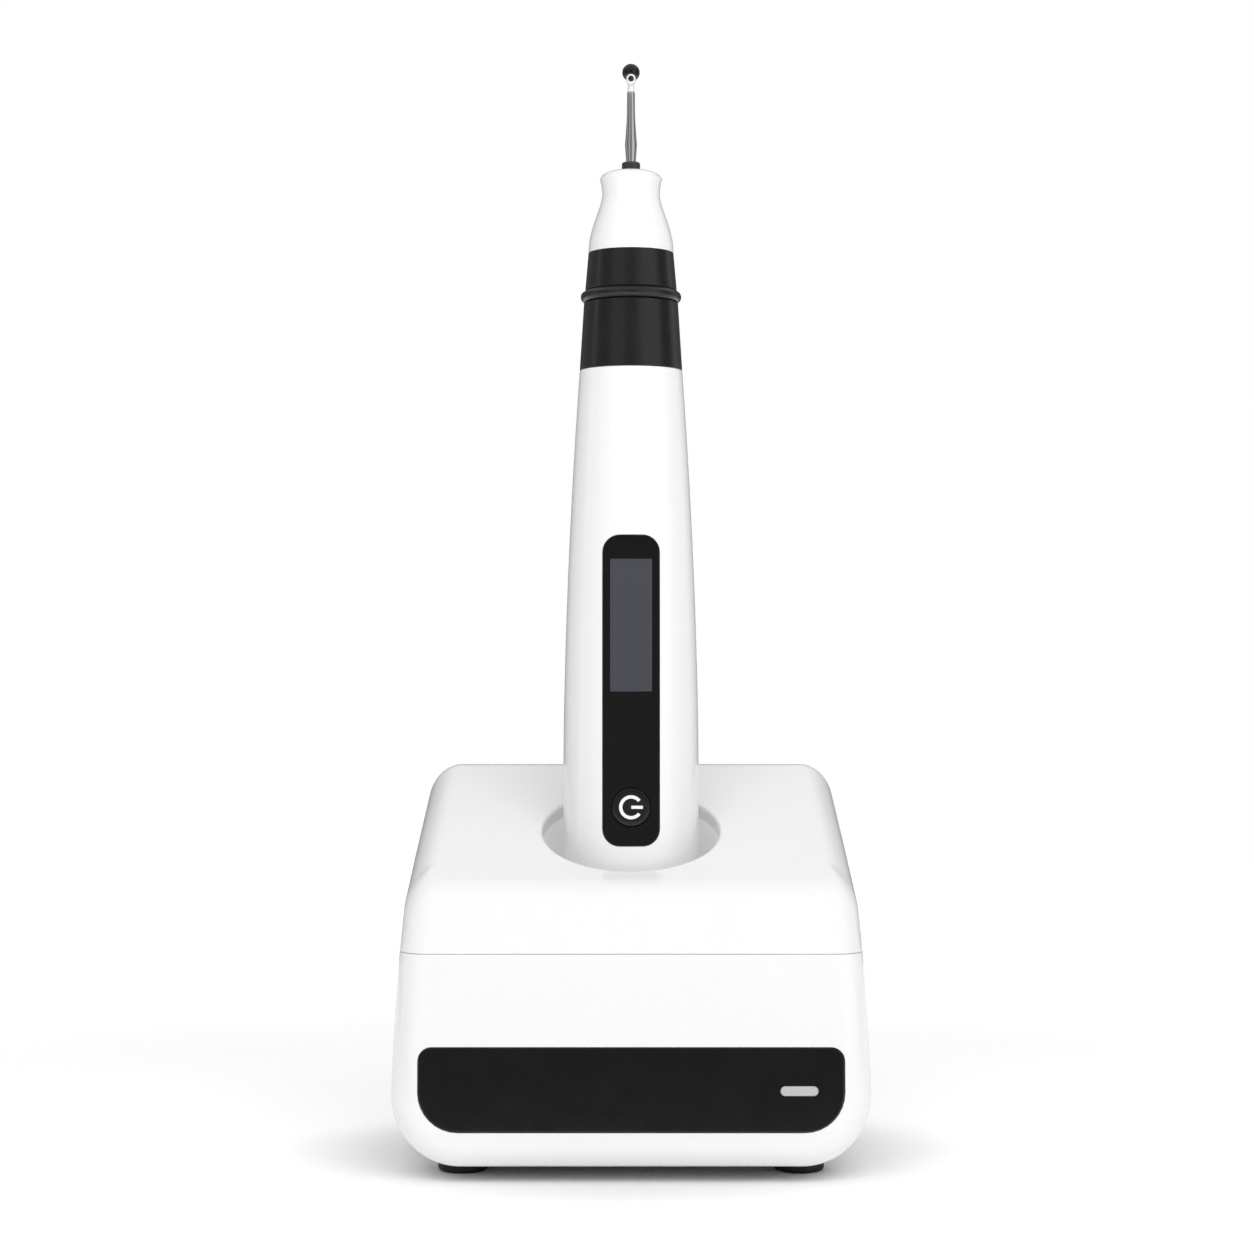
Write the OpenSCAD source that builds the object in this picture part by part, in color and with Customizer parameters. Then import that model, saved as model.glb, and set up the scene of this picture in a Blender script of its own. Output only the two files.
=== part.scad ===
// Cordless pen handpiece for root-canal work, standing in its charging dock.
// Millimetres, +Z up. The handpiece axis is the Z axis, the front faces -Y and the dock's feet
// stand on z = 0.

/* [Handpiece] */
// Height of the handpiece's foot above the table when docked
seat_z = 26; // [25.9:0.1:26.1]
// Radius of the barrel's straight lower part
barrel_r = 13.5; // [13.4:0.1:13.6]
// Radius of the barrel where the black bands begin
shoulder_r = 10.25; // [10.1:0.05:10.4]
// Wall thickness of the barrel
barrel_wall = 1.6; // [1.5:0.1:1.7]
// Radius of the activation ring
ring_r = 10.05; // [9.9:0.05:10.3]
// Travel of the activation ring to each side
ring_travel = 0.4; // [0.2:0.1:0.4]
// Radius of the nose cone's front lip
lip_r = 6.2; // [6.0:0.1:6.5]

/* [Panel] */
// Width of the black display panel
panel_w = 11.2; // [10.8:0.1:11.4]
// Height of the black display panel
panel_h = 60.9; // [60:0.1:61.5]
// Corner radius of the display panel
panel_corner = 3.4; // [2:0.1:4]
// Radius of the power button
button_r = 3.7; // [3.4:0.1:3.8]
// Travel of the power button
button_travel = 0.4; // [0.2:0.05:0.4]

/* [Tip] */
// Radius of the black bead at the end of the tip
bead_r = 1.75; // [1.5:0.05:2]
// Radius of the tip's plug and of the bottom of its shaft
shank_r = 0.95; // [0.9:0.01:0.96]

/* [Dock] */
// Half of the dock's width where it is widest
dock_half_w = 46; // [45.8:0.1:47.5]
// Depth of the dock in front of the handpiece axis
dock_front = 34.6; // [34:0.1:35]
// Depth of the dock behind the handpiece axis
dock_back = 34.4; // [34:0.1:35]
// Height of the dock's top face on the handpiece axis
top_z = 64.8; // [64.4:0.1:65.2]
// Slope of the dock's top face, rising towards the back
top_slope = 21.5; // [21:0.1:22]
// Radius of the well's mouth
mouth_r = 17.7; // [17.2:0.1:18]
// Wall thickness of the dock's shells
dock_wall = 2.4; // [2.2:0.1:2.6]
// Height of the parting line between cover and lower shell
parting_z = 43.1; // [42.5:0.1:43.5]
// Radius of a rubber foot
foot_r = 4.9; // [4.5:0.1:5]
// Height of the dock's underside above the table
underside_z = 3; // [2.8:0.1:3.2]

/* [Hidden] */
$fn = 64;
eps = 0.01;

// Heights up the handpiece
cap_top_z = 40;
straight_top_z = 76;
shoulder_z = 156.4;
ring_bottom_z = 170;
ring_top_z = 172.4;
band_top_z = 179.9;
band_top_r = 8.5;
neck_z = 191.6;
neck_r = 5.75;
lip_z = 194.7;
nose_top_z = 196.6;
collar_top_z = 198.1;
plug_bottom_z = 185.2;
plug_top_z = 198;
shaft_top_z = 212.2;
shaft_bore_r = 0.42;
elbow_z = 214.6;
bead_z = 216.2;

// Panel plane on the front of the barrel
panel_z = 62.2;
panel_y = -sqrt(pow(barrel_r, 2) - pow(panel_w / 2, 2));
panel_lean = 1.33;
panel_t = 1;
panel_frame_t = 1.8;
button_y = 7.6;
screen_y = 43.25;
screen_w = 8.2;
screen_h = 26;

// Inside the handpiece
cell_r = 9.2;
cell_y = 1.8;
cell_z = 46;
cell_h = 65;
board_front_y = -8.5;
board_t = 1;
board_half_w = 5.4;
board_bottom_z = 42;
board_top_z = 126;
core_r = 7.2;
core_groove_r = 6.4;
spigot_r = 5.6;
lead_x = 1.6;
lead_y = -3.4;
pad_x = 4.5;
pad_r = 2;

// The dock
corner_r = 14;
top_corner_r = 7;
side_taper = 0.07;
side_bow_r = 1500;
widest_z = 15;
plan_corner_r = 6;
crease_y = -23.5;
crease_round_r = 8;
facet_bottom_y = -31;
bottom_round_r = 3;
back_round_r = 4;
cavity_floor_z = underside_z + dock_wall;
plate_t = 1.2;
plate_y = 2;
foot_x = 32.5;
foot_front_y = -17.5;
foot_back_y = 26;
foot_pocket_h = 0.9;
pcb_z = 12;
pcb_t = 1.6;
cup_floor_z = seat_z - 0.2;
cup_bottom_z = cup_floor_z - 2.6;
strip_half_w = 40.1;
strip_bottom_z = 10;
strip_top_z = 25.7;
light_x = 31.6;
light_z = 17.65;
light_w = 7.2;
light_h = 1.9;
column_x = 37.9;
column_front_y = -12;
column_back_y = 18;
column_bottom_z = 20;
column_r = 3;
column_pilot_r = 0.95;
inlet_z = 18.2;
inlet_r = 2.8;
inlet_body_r = 4.5;
inlet_depth = 10.2;

// Base plate, its opening and its screws
plate_w = 54;
plate_d = 52;
plate_corner = 4;
plate_hole_w = 41;
plate_hole_d = 39;
plate_hole_corner = 3;
plate_screw_x = 23.5;
plate_screw_y = 22.5;
ballast_h = 6;

// Charge board
pcb_w = 68;
pcb_d = 59.5;
pcb_mid_y = 1.75;
pcb_screw_x = 29;
pcb_screw_front_y = -19;
pcb_screw_back_y = 26;

// The lower shell's tongue inside the cover, and the gap at the parting line
parting_gap = 0.2;
tongue_up = 1.8;
tongue_down = 3;
tongue_t = 1.1;
slip = 0.1;

// Corners of the black strip
strip_low_corner = 7.5;
strip_high_corner = 2.5;

// Well liner
cup_wall = 1.8;
cup_play = 0.35;
pin_hole_r = 1.1;
pin_bottom_z = 20.4;

// ---------- helpers ----------

function unit(v) = v / norm(v);

// The points of one rounded corner: p has x, y and the corner's radius, a and b are its neighbours.
function corner(a, p, b, steps) =
    let (c = [p.x, p.y], u = unit([a.x, a.y] - c), v = unit([b.x, b.y] - c), half = acos(u * v) / 2)
    p.z <= 0 ? [c] :
    let (centre = c + unit(u + v) * p.z / sin(half),
         from = c + u * p.z / tan(half) - centre,
         to = c + v * p.z / tan(half) - centre,
         start = atan2(from.y, from.x),
         turn = (atan2(to.y, to.x) - start + 540) % 360 - 180)
    [for (i = [0 : steps]) centre + p.z * [cos(start + turn * i / steps), sin(start + turn * i / steps)]];

// A closed outline through points [x, y, corner radius].
function outline(pts, steps = 6) =
    [for (i = [0 : len(pts) - 1])
        each corner(pts[(i + len(pts) - 1) % len(pts)], pts[i], pts[(i + 1) % len(pts)], steps)];

module rounded_rect(w, h, r) {
    polygon(outline([[-w / 2, -h / 2, r], [w / 2, -h / 2, r], [w / 2, h / 2, r], [-w / 2, h / 2, r]]));
}

module obround(w, h) {
    translate([-(w - h) / 2, 0]) circle(d = h);
    translate([(w - h) / 2, 0]) circle(d = h);
    square([w - h, h], center = true);
}

module tube(r_out, r_in, z0, z1) {
    translate([0, 0, z0]) difference() {
        cylinder(r = r_out, h = z1 - z0);
        translate([0, 0, -1]) cylinder(r = r_in, h = z1 - z0 + 2);
    }
}

module rod(r, z0, z1) {
    translate([0, 0, z0]) cylinder(r = r, h = z1 - z0);
}

module box(x0, x1, y0, y1, z0, z1) {
    translate([x0, y0, z0]) cube([x1 - x0, y1 - y0, z1 - z0]);
}

module lathe(points) {
    rotate_extrude() polygon(points);
}

// A screw pointing up, with its head's underside at the origin and a driver slot in the head.
module screw_up(shank_r, shank_h, head_r, head_h) {
    difference() {
        union() {
            cylinder(r = shank_r, h = shank_h);
            translate([0, 0, -head_h]) cylinder(r = head_r, h = head_h);
        }
        translate([0, 0, -head_h]) cylinder(r = head_r * 0.45, h = head_h, center = true, $fn = 6);
    }
}

module left_and_right(x) {
    for (side = [-1, 1]) translate([side * x, 0, 0]) children();
}

// ---------- dock form ----------

function top_at(y) = top_z + y * tan(top_slope);

// The dock seen from the side, as y and z.
module side_profile(inset) {
    front = -dock_front + inset;
    back = dock_back - inset;
    low = underside_z + inset;
    low_round = max(bottom_round_r - inset, 0.5);
    drop = inset / cos(top_slope);
    polygon(outline([
        [front, low, low_round],
        [back, low, low_round],
        [back, top_at(back) - drop, max(back_round_r - inset, 1)],
        [crease_y, top_at(crease_y) - drop, crease_round_r],
        [facet_bottom_y + inset, parting_z, 0]
    ]));
}

// The dock seen from the front, as x and z: above its widest level the sides lean in and bow a little.
module front_profile(inset) {
    low = underside_z + inset;
    high = top_at(dock_back) - inset;
    function side_x(z) =
        let (rise = z - widest_z) dock_half_w - inset - side_taper * rise - pow(rise, 2) / (2 * side_bow_r);
    steps = 7;
    first_z = low + corner_r + 4;
    last_z = high - top_corner_r - 4;
    side = [for (i = [0 : steps])
        let (z = first_z + (last_z - first_z) * i / steps) [side_x(z), z, 0]];
    right = concat([[side_x(widest_z), low, corner_r - inset]], side,
                   [[side_x(high - 2), high, top_corner_r]]);
    left = [for (i = [len(right) - 1 : -1 : 0]) [-right[i].x, right[i].y, right[i].z]];
    polygon(outline(concat(right, left)));
}

module dock_form(inset) {
    intersection() {
        rotate([90, 0, 90]) translate([0, 0, -60]) linear_extrude(120) side_profile(inset);
        rotate([90, 0, 0]) translate([0, 0, -60]) linear_extrude(120) front_profile(inset);
        translate([0, (dock_back - dock_front) / 2, 0]) linear_extrude(100)
            rounded_rect(2 * (dock_half_w - inset), dock_front + dock_back - 2 * inset,
                         plan_corner_r - inset * 0.5);
    }
}

// Everything above the dock's top face, lowered by drop.
module above_top(drop) {
    translate([0, 0, top_z - drop]) rotate([top_slope, 0, 0]) translate([-60, -60, 0]) cube([120, 140, 60]);
}

module at_columns() {
    for (side = [-1, 1], y = [column_front_y, column_back_y]) translate([side * column_x, y, 0]) children();
}

module at_feet() {
    for (side = [-1, 1], y = [foot_front_y, foot_back_y]) translate([side * foot_x, y, 0]) children();
}

module at_plate_screws() {
    for (side = [-1, 1], end = [-1, 1])
        translate([side * plate_screw_x, plate_y + end * plate_screw_y, 0]) children();
}

module at_board_screws() {
    for (side = [-1, 1], y = [pcb_screw_front_y, pcb_screw_back_y])
        translate([side * pcb_screw_x, y, 0]) children();
}

// Front view outline of the black strip, grown by grow.
module strip_outline(grow) {
    polygon(outline([
        [-strip_half_w - grow, strip_bottom_z - grow, strip_low_corner],
        [strip_half_w + grow, strip_bottom_z - grow, strip_low_corner],
        [strip_half_w + grow, strip_top_z + grow, strip_high_corner],
        [-strip_half_w - grow, strip_top_z + grow, strip_high_corner]]));
}

// Pushes a front view outline through the dock's front wall.
module through_front() {
    translate([0, -dock_front + 6, 0]) rotate([90, 0, 0]) linear_extrude(12) children();
}

// ---------- dock pieces ----------

module upper_cover() {
    color("white") difference() {
        union() {
            difference() {
                dock_form(0);
                dock_form(dock_wall);
            }
            intersection() {
                dock_form(dock_wall / 2);
                at_columns() rod(column_r, column_bottom_z, 90);
            }
        }
        difference() {
            translate([0, 0, -1]) linear_extrude(parting_z + parting_gap + 1) square(200, center = true);
            at_columns() rod(column_r + eps, column_bottom_z, 90);
        }
        rod(mouth_r, 0, 100);
        at_columns() rod(column_pilot_r, column_bottom_z - 1, column_bottom_z + 14);
    }
}

module lower_shell() {
    color("white") difference() {
        union() {
            difference() {
                dock_form(0);
                dock_form(dock_wall);
                rod(200, parting_z - parting_gap, 100);
            }
            // the tongue, and below it the rib that joins it to the wall
            difference() {
                dock_form(dock_wall + slip);
                dock_form(dock_wall + slip + tongue_t);
                rod(200, 0, parting_z - tongue_down);
                rod(200, parting_z + tongue_up, 100);
                at_columns() rod(column_r + slip, 0, 100);
            }
            difference() {
                dock_form(dock_wall - 0.2);
                rod(200, parting_z - parting_gap, 100);
                dock_form(dock_wall + slip + tongue_t);
                rod(200, 0, parting_z - tongue_down);
                at_columns() rod(column_r + slip, 0, 100);
            }
            at_plate_screws() rod(3, cavity_floor_z - 1, pcb_z - 0.5);
            at_board_screws() rod(2.6, cavity_floor_z - 1, pcb_z);
            intersection() {
                dock_form(1);
                at_columns() rod(column_r, underside_z, column_bottom_z - slip);
            }
        }
        // base plate, its rebate and the opening over it
        translate([0, plate_y, underside_z - 1]) linear_extrude(plate_t + 1)
            rounded_rect(plate_w + 2 * slip, plate_d + 2 * slip, plate_corner);
        translate([0, plate_y, 0]) linear_extrude(cavity_floor_z + 1)
            rounded_rect(plate_hole_w, plate_hole_d, plate_hole_corner);
        at_plate_screws() rod(0.9, 0, pcb_z - 2);
        at_board_screws() rod(0.85, pcb_z - 5, pcb_z + 1);
        at_feet() rod(foot_r + slip, 0, underside_z + foot_pocket_h);
        at_columns() {
            rod(1.1, 0, 40);
            rod(2.2, 0, 12);
        }
        // recess for the black strip and the light's window
        intersection() {
            difference() {
                translate([-60, -60, 0]) cube([120, 60, 60]);
                dock_form(panel_t + 0.2);
            }
            through_front() strip_outline(0.15);
        }
        through_front() translate([light_x, light_z]) obround(light_w + 2 * slip, light_h + 2 * slip);
        translate([0, dock_back + 1, inlet_z]) rotate([90, 0, 0]) cylinder(r = inlet_body_r + slip, h = 5);
    }
}

module base_plate() {
    color("gainsboro") difference() {
        translate([0, plate_y, underside_z]) linear_extrude(plate_t)
            rounded_rect(plate_w, plate_d, plate_corner);
        at_plate_screws() {
            rod(1.1, 0, 20);
            rod(2.1, 0, underside_z + 0.7);
        }
    }
}

module ballast_plate() {
    color("dimgray") translate([0, plate_y, underside_z + plate_t]) linear_extrude(ballast_h)
        rounded_rect(plate_hole_w - 1, plate_hole_d - 1, plate_hole_corner);
}

module rubber_feet() {
    foot_h = underside_z + foot_pocket_h;
    color("black") at_feet() lathe([[0, 0], [foot_r - 0.8, 0], [foot_r - 0.25, 0.25], [foot_r, 0.8],
                                    [foot_r, foot_h], [0, foot_h]]);
}

module base_screws() {
    color("silver") at_plate_screws() translate([0, 0, underside_z + 0.7]) screw_up(0.85, 6, 1.9, 0.6);
}

module cover_screws() {
    color("silver") at_columns() translate([0, 0, 12]) screw_up(0.9, 16, 2, 1.4);
}

module front_strip() {
    color([0.12, 0.12, 0.12]) difference() {
        intersection() {
            dock_form(0);
            through_front() strip_outline(0);
        }
        dock_form(panel_t + 0.15);
        through_front() translate([light_x, light_z]) obround(light_w + 0.1, light_h + 0.1);
    }
}

module light_pipe() {
    color("lightgray") intersection() {
        dock_form(0);
        union() {
            translate([0, -dock_front + 4.6, 0]) rotate([90, 0, 0]) linear_extrude(8)
                translate([light_x, light_z]) obround(light_w, light_h);
            box(light_x - 1.5, light_x + 1.5, -dock_front + 4.4, -dock_front + 6.2,
                pcb_z + pcb_t + 0.9, light_z + light_h / 2);
        }
    }
}

module status_led() {
    color("lightyellow") box(light_x - 0.8, light_x + 0.8, -dock_front + 4.5, -dock_front + 6.1,
                             pcb_z + pcb_t, pcb_z + pcb_t + 0.9);
}

module charge_board() {
    color("darkgreen") difference() {
        translate([0, pcb_mid_y, pcb_z]) linear_extrude(pcb_t) rounded_rect(pcb_w, pcb_d, 2);
        at_board_screws() rod(1.1, 0, 40);
        at_columns() rod(4, 0, 40);
    }
}

module board_chips() {
    top = pcb_z + pcb_t;
    color("black") {
        box(-27, -20, -18, -11, top, top + 1.6);
        box(-25, -21, 4, 8, top, top + 1.2);
        box(18, 24, -22, -16, top, top + 3);
        translate([22, 8, 0]) rod(3.1, top, top + 6);
    }
}

module board_screws() {
    color("silver") at_board_screws() translate([0, 0, pcb_z + pcb_t]) mirror([0, 0, 1])
        screw_up(0.8, 5, 1.9, 1.2);
}

module well_cup() {
    seat_r = barrel_r + cup_play;
    outer_seat_r = seat_r + cup_wall;
    outer_mouth_r = mouth_r + cup_wall;
    color("whitesmoke") difference() {
        lathe([
            [0, cup_bottom_z], [outer_seat_r - 1, cup_bottom_z], [outer_seat_r, cup_bottom_z + 1],
            [outer_seat_r, 35], [outer_mouth_r, 42], [outer_mouth_r, 80],
            [mouth_r, 80], [mouth_r, 44], [seat_r, 37], [seat_r, cup_floor_z], [0, cup_floor_z]]);
        above_top(dock_wall / cos(top_slope) + slip);
        left_and_right(pad_x) rod(pin_hole_r, 0, 40);
    }
}

module pin_block() {
    top = pcb_z + pcb_t;
    color("black") difference() {
        translate([0, 0, top]) linear_extrude(cup_bottom_z - 0.1 - top) rounded_rect(17, 8, 1.5);
        left_and_right(pad_x) rod(1.3, top + 1, 40);
    }
}

module charge_pins() {
    color("gold") left_and_right(pad_x)
        lathe([
            [0, pin_bottom_z], [1.2, pin_bottom_z], [1.2, pin_bottom_z + 1], [0.9, pin_bottom_z + 1],
            [0.9, seat_z - 0.5], [0.6, seat_z], [0, seat_z]]);
}

// One coil of wire along a helix, as rings of points joined by faces.
module coil(radius, wire_r, turns, height) {
    per_turn = 12;
    sides = 6;
    rings = turns * per_turn;
    points = [for (i = [0 : rings], j = [0 : sides - 1])
        let (turn = 360 * i / per_turn, around = 360 * j / sides, reach = radius + wire_r * cos(around))
        [reach * cos(turn), reach * sin(turn), height * i / rings + wire_r * sin(around)]];
    walls = [for (i = [0 : rings - 1], j = [0 : sides - 1])
        let (a = i * sides + j, b = i * sides + (j + 1) % sides) [a + sides, b + sides, b, a]];
    first = [for (j = [0 : sides - 1]) j];
    last = [for (j = [sides - 1 : -1 : 0]) rings * sides + j];
    polyhedron(points, concat(walls, [first, last]), 4);
}

module pin_springs() {
    wire_r = 0.15;
    bottom = pcb_z + pcb_t + 1 + wire_r;
    color("silver") left_and_right(pad_x)
        translate([0, 0, bottom]) coil(0.95, wire_r, 6, pin_bottom_z - wire_r - bottom - eps);
}

module power_inlet() {
    color([0.1, 0.1, 0.1]) difference() {
        union() {
            translate([0, dock_back - 0.2, inlet_z]) rotate([90, 0, 0]) cylinder(r = inlet_body_r, h = 4);
            box(-inlet_body_r, inlet_body_r, dock_back - 14, dock_back - dock_wall - 0.6,
                pcb_z + pcb_t, inlet_z + inlet_body_r);
        }
        translate([0, dock_back + 1, inlet_z]) rotate([90, 0, 0]) cylinder(r = inlet_r, h = inlet_depth + 1);
    }
    color("silver") translate([0, dock_back - 2, inlet_z]) rotate([90, 0, 0]) cylinder(r = 0.95, h = 8.2);
}

// ---------- handpiece shells ----------

// Radius of the white barrel at height z.
function barrel_at(z) =
    z <= straight_top_z ? barrel_r :
    barrel_r - (barrel_r - shoulder_r) * pow((z - straight_top_z) / (shoulder_z - straight_top_z), 1.75);

barrel_steps = 14;
function barrel_heights(z0, z1) =
    concat([z0], [for (i = [0 : barrel_steps])
        straight_top_z + (z1 - straight_top_z) * i / barrel_steps]);

// Radius of the nose cone at height z, between the bands and its waist.
function nose_at(z) =
    neck_r + (band_top_r - neck_r) * (1 - cos(180 * pow((neck_z - z) / (neck_z - band_top_z), 0.8))) / 2;

module on_panel() {
    translate([0, panel_y, panel_z]) rotate([90 - panel_lean, 0, 0]) children();
}

module rear_cap() {
    floor_top = seat_z + 2.4;
    color("white") difference() {
        lathe([
            [0, seat_z], [barrel_r - 2.4, seat_z], [barrel_r - 0.7, seat_z + 0.7], [barrel_r, seat_z + 2.4],
            [barrel_r, cap_top_z - 0.05], [11.8, cap_top_z - 0.05], [11.8, 41.5], [10.9, 41.5], [10.9, 42.5],
            [11.8, 42.5], [11.8, 44], [10.2, 44], [10.2, 38], [barrel_r - barrel_wall, 36],
            [barrel_r - barrel_wall, floor_top + 1.5], [barrel_r - 3.2, floor_top], [0, floor_top]]);
        left_and_right(pad_x) rod(pad_r + 0.02, seat_z - 1, seat_z + 5);
        for (side = [-1, 1]) translate([0, side * 8, 0]) {
            rod(1.1, seat_z - 1, seat_z + 5);
            rod(2, seat_z - 1, seat_z + 1.4);
        }
    }
}

module rear_seal() {
    color("dimgray") rotate_extrude() translate([11.38, 42]) circle(r = 0.46);
}

module cap_screws() {
    color("silver") for (side = [-1, 1]) translate([0, side * 8, seat_z + 1.4]) screw_up(0.9, 9, 1.9, 1.1);
}

module charge_pads() {
    color("gold") left_and_right(pad_x) rod(pad_r, seat_z, seat_z + 2.9);
}

module body_shell() {
    top_wall = 2;
    inside = barrel_heights(cap_top_z, shoulder_z - top_wall);
    outside = barrel_heights(cap_top_z, shoulder_z);
    color("white") difference() {
        union() {
            lathe(concat(
                [for (z = outside) [barrel_at(z), z]],
                [[core_r + 0.1, shoulder_z], [core_r + 0.1, shoulder_z - top_wall]],
                [for (i = [len(inside) - 1 : -1 : 0]) [barrel_at(inside[i]) - barrel_wall, inside[i]]]));
            intersection() {
                lathe(concat([[0, cap_top_z]], [for (z = outside) [barrel_at(z) - 0.3, z]],
                             [[0, shoulder_z]]));
                on_panel() translate([0, panel_h / 2, -panel_frame_t]) linear_extrude(4)
                    rounded_rect(panel_w + 3.6, panel_h + 4, 4);
            }
        }
        on_panel() {
            translate([0, panel_h / 2, -panel_t]) linear_extrude(8)
                rounded_rect(panel_w + slip, panel_h + slip, panel_corner);
            translate([0, screen_y, -6]) linear_extrude(8)
                square([screen_w + slip, screen_h + slip], center = true);
            translate([0, button_y, -6]) cylinder(r = button_r + 0.3, h = 8);
        }
    }
}

// ---------- inside the handpiece ----------

module chassis() {
    plate_z = cell_z + cell_h + 1;
    color("slategray") difference() {
        union() {
            rod(10, 41, 45);
            rod(10.4, plate_z, plate_z + 3);
            left_and_right(9.95) box(-0.55, 0.55, -1.2, 3.2, 44.2, plate_z + 1.2);
            box(-5, 5, board_front_y + board_t + 0.1, -5.4, plate_z, board_top_z + 2);
            for (side = [-1, 1]) translate([0, side * 8, 0]) rod(2.1, seat_z + 2.4, 42);
        }
        box(-20, 20, -20, board_front_y + board_t + 0.1, 41.5, 200);
        for (side = [-1, 1]) translate([0, side * 8, 0]) rod(0.95, 0, 38);
        translate([0, 0, 43.5]) rotate([90, 0, 0]) cylinder(r = 0.75, h = 20);
        translate([0, 0, 121.5]) rotate([90, 0, 0]) cylinder(r = 0.75, h = 20);
    }
}

module battery_cell() {
    color("steelblue") translate([0, cell_y, 0]) lathe([
        [0, cell_z + 0.4], [cell_r - 1, cell_z + 0.4], [cell_r - 0.3, cell_z + 0.7], [cell_r, cell_z + 1.4],
        [cell_r, cell_z + cell_h - 2.4], [cell_r - 0.7, cell_z + cell_h - 1.4], [2.8, cell_z + cell_h - 1.4],
        [2.8, cell_z + cell_h - 0.6], [0, cell_z + cell_h - 0.6]]);
}

module battery_tabs() {
    color("lightgray") {
        box(-3, 3, cell_y - 3, cell_y + 3, 45, cell_z + 0.4);
        box(-3, 3, cell_y - 3, cell_y + 3, cell_z + cell_h - 0.6, cell_z + cell_h + 1);
    }
}

module main_board() {
    color("darkgreen") difference() {
        box(-board_half_w, board_half_w, board_front_y, board_front_y + board_t, board_bottom_z, board_top_z);
        for (z = [43.5, 121.5]) translate([0, 0, z]) rotate([90, 0, 0]) cylinder(r = 0.9, h = 20);
    }
}

module main_board_chips() {
    front = board_front_y;
    color([0.15, 0.15, 0.15]) {
        box(-2.5, 2.5, front - 0.9, front, 79, 84);
        box(-4.5, -2, front - 0.8, front, 52, 58);
        box(1, 4.5, front - 1.1, front, 52, 56);
        box(-3, 3, front - 1, front, 86.5, 89.5);
    }
}

module main_board_screws() {
    color("silver") for (z = [43.5, 121.5])
        translate([0, board_front_y, z]) rotate([-90, 0, 0]) screw_up(0.7, 3.6, 1.5, 0.5);
}

module display_module() {
    color([0.3, 0.3, 0.33]) on_panel() translate([0, screen_y, -panel_t - 1.35])
        linear_extrude(1.3) square([screen_w, screen_h], center = true);
}

module panel_lens() {
    color([0.1, 0.1, 0.1]) on_panel() difference() {
        translate([0, panel_h / 2, -panel_t]) linear_extrude(panel_t)
            rounded_rect(panel_w, panel_h, panel_corner);
        translate([0, button_y, -6]) cylinder(r = button_r + 0.3, h = 8);
    }
}

module power_switch() {
    z = panel_z + button_y;
    color("silver") box(-1.7, 1.7, board_front_y - 0.55, board_front_y, z - 1.7, z + 1.7);
}

module power_button() {
    stem = 2.85 - button_travel;
    color([0.13, 0.13, 0.13]) on_panel() translate([0, button_y, 0]) {
        translate([0, 0, -panel_frame_t - 0.1]) cylinder(r = button_r, h = panel_frame_t + 0.25);
        translate([0, 0, -panel_frame_t - 0.6]) cylinder(r = button_r + 0.6, h = 0.5);
        translate([0, 0, -stem - 0.05]) cylinder(r = 0.8, h = 0.6);
    }
}

module buzzer() {
    color("black") translate([0, 3, 0]) rod(4.5, cell_z + cell_h + 4, cell_z + cell_h + 6.2);
}

module core_tube() {
    color("gray") lathe([
        [5.2, 150], [core_r, 150], [core_r, 152.4], [8.4, 152.4], [8.4, 154.4], [core_r, 154.4],
        [core_r, 168.5], [core_groove_r, 168.5], [core_groove_r, 174], [core_r, 174], [core_r, band_top_z],
        [spigot_r, band_top_z], [spigot_r, 187], [4.2, 187], [4.2, 178.4], [5.2, 178.4]]);
}

module lower_band() {
    color([0.18, 0.18, 0.18]) lathe([
        [core_r + 0.05, shoulder_z + 0.02], [shoulder_r, shoulder_z + 0.02], [9.4, ring_bottom_z - 0.05],
        [core_r + 0.05, ring_bottom_z - 0.05]]);
}

module activation_ring() {
    h = ring_top_z - ring_bottom_z;
    r_in = core_r + ring_travel + 0.15;
    z = ring_bottom_z;
    color([0.14, 0.14, 0.14]) lathe(concat(
        [[r_in, z + 0.03], [9.3, z + 0.03]],
        [for (a = [-60 : 15 : 60]) [ring_r - 0.8 + 0.8 * cos(a), z + h * 0.45 + h * 0.45 * sin(a)]],
        [[9.1, z + h - 0.03], [r_in, z + h - 0.03]]));
}

module upper_band() {
    color([0.18, 0.18, 0.18]) lathe([
        [core_r + 0.05, ring_top_z + 0.05], [9.15, ring_top_z + 0.05], [band_top_r, band_top_z - 0.02],
        [core_r + 0.05, band_top_z - 0.02]]);
}

module ring_flex_board() {
    color("darkorange") tube(core_groove_r + 0.2, core_groove_r + 0.02, 168.7, 173.8);
}

module ring_switches() {
    r0 = core_groove_r + 0.1;
    z = (ring_bottom_z + ring_top_z) / 2;
    color("silver") for (turn = [0 : 90 : 270]) rotate([0, 0, turn]) difference() {
        union() {
            box(-0.9, 0.9, r0, 7.1, z - 0.9, z + 0.9);
            translate([0, 7, z]) rotate([-90, 0, 0]) cylinder(r = 0.4, h = 0.3);
        }
        rod(core_groove_r + 0.2, 160, 180);
    }
}

module nose_cone() {
    skin = [for (i = [0 : 12]) let (z = band_top_z + (neck_z - band_top_z) * i / 12) [nose_at(z), z]];
    flare = [for (i = [1 : 5]) let (t = i / 5)
        [neck_r + (lip_r - neck_r) * t * t, neck_z + (lip_z - neck_z) * t]];
    edge = 0.3;
    dome_z = lip_z + edge;
    dome = [for (a = [0 : 15 : 75]) [(lip_r - edge) * cos(a), dome_z + (nose_top_z - dome_z) * sin(a)]];
    color("white") difference() {
        lathe(concat([[0, band_top_z]], skin, flare, dome, [[0, nose_top_z]]));
        rod(spigot_r + 0.05, band_top_z - 1, 187.2);
        rod(4.1, 187, 191.9);
        rod(2.52, 191, 195.2);
        rod(1.6, 195, 200);
    }
}

module nose_bush() {
    color("darkgoldenrod") tube(2.5, 1.52, 192.1, 195.15);
}

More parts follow.
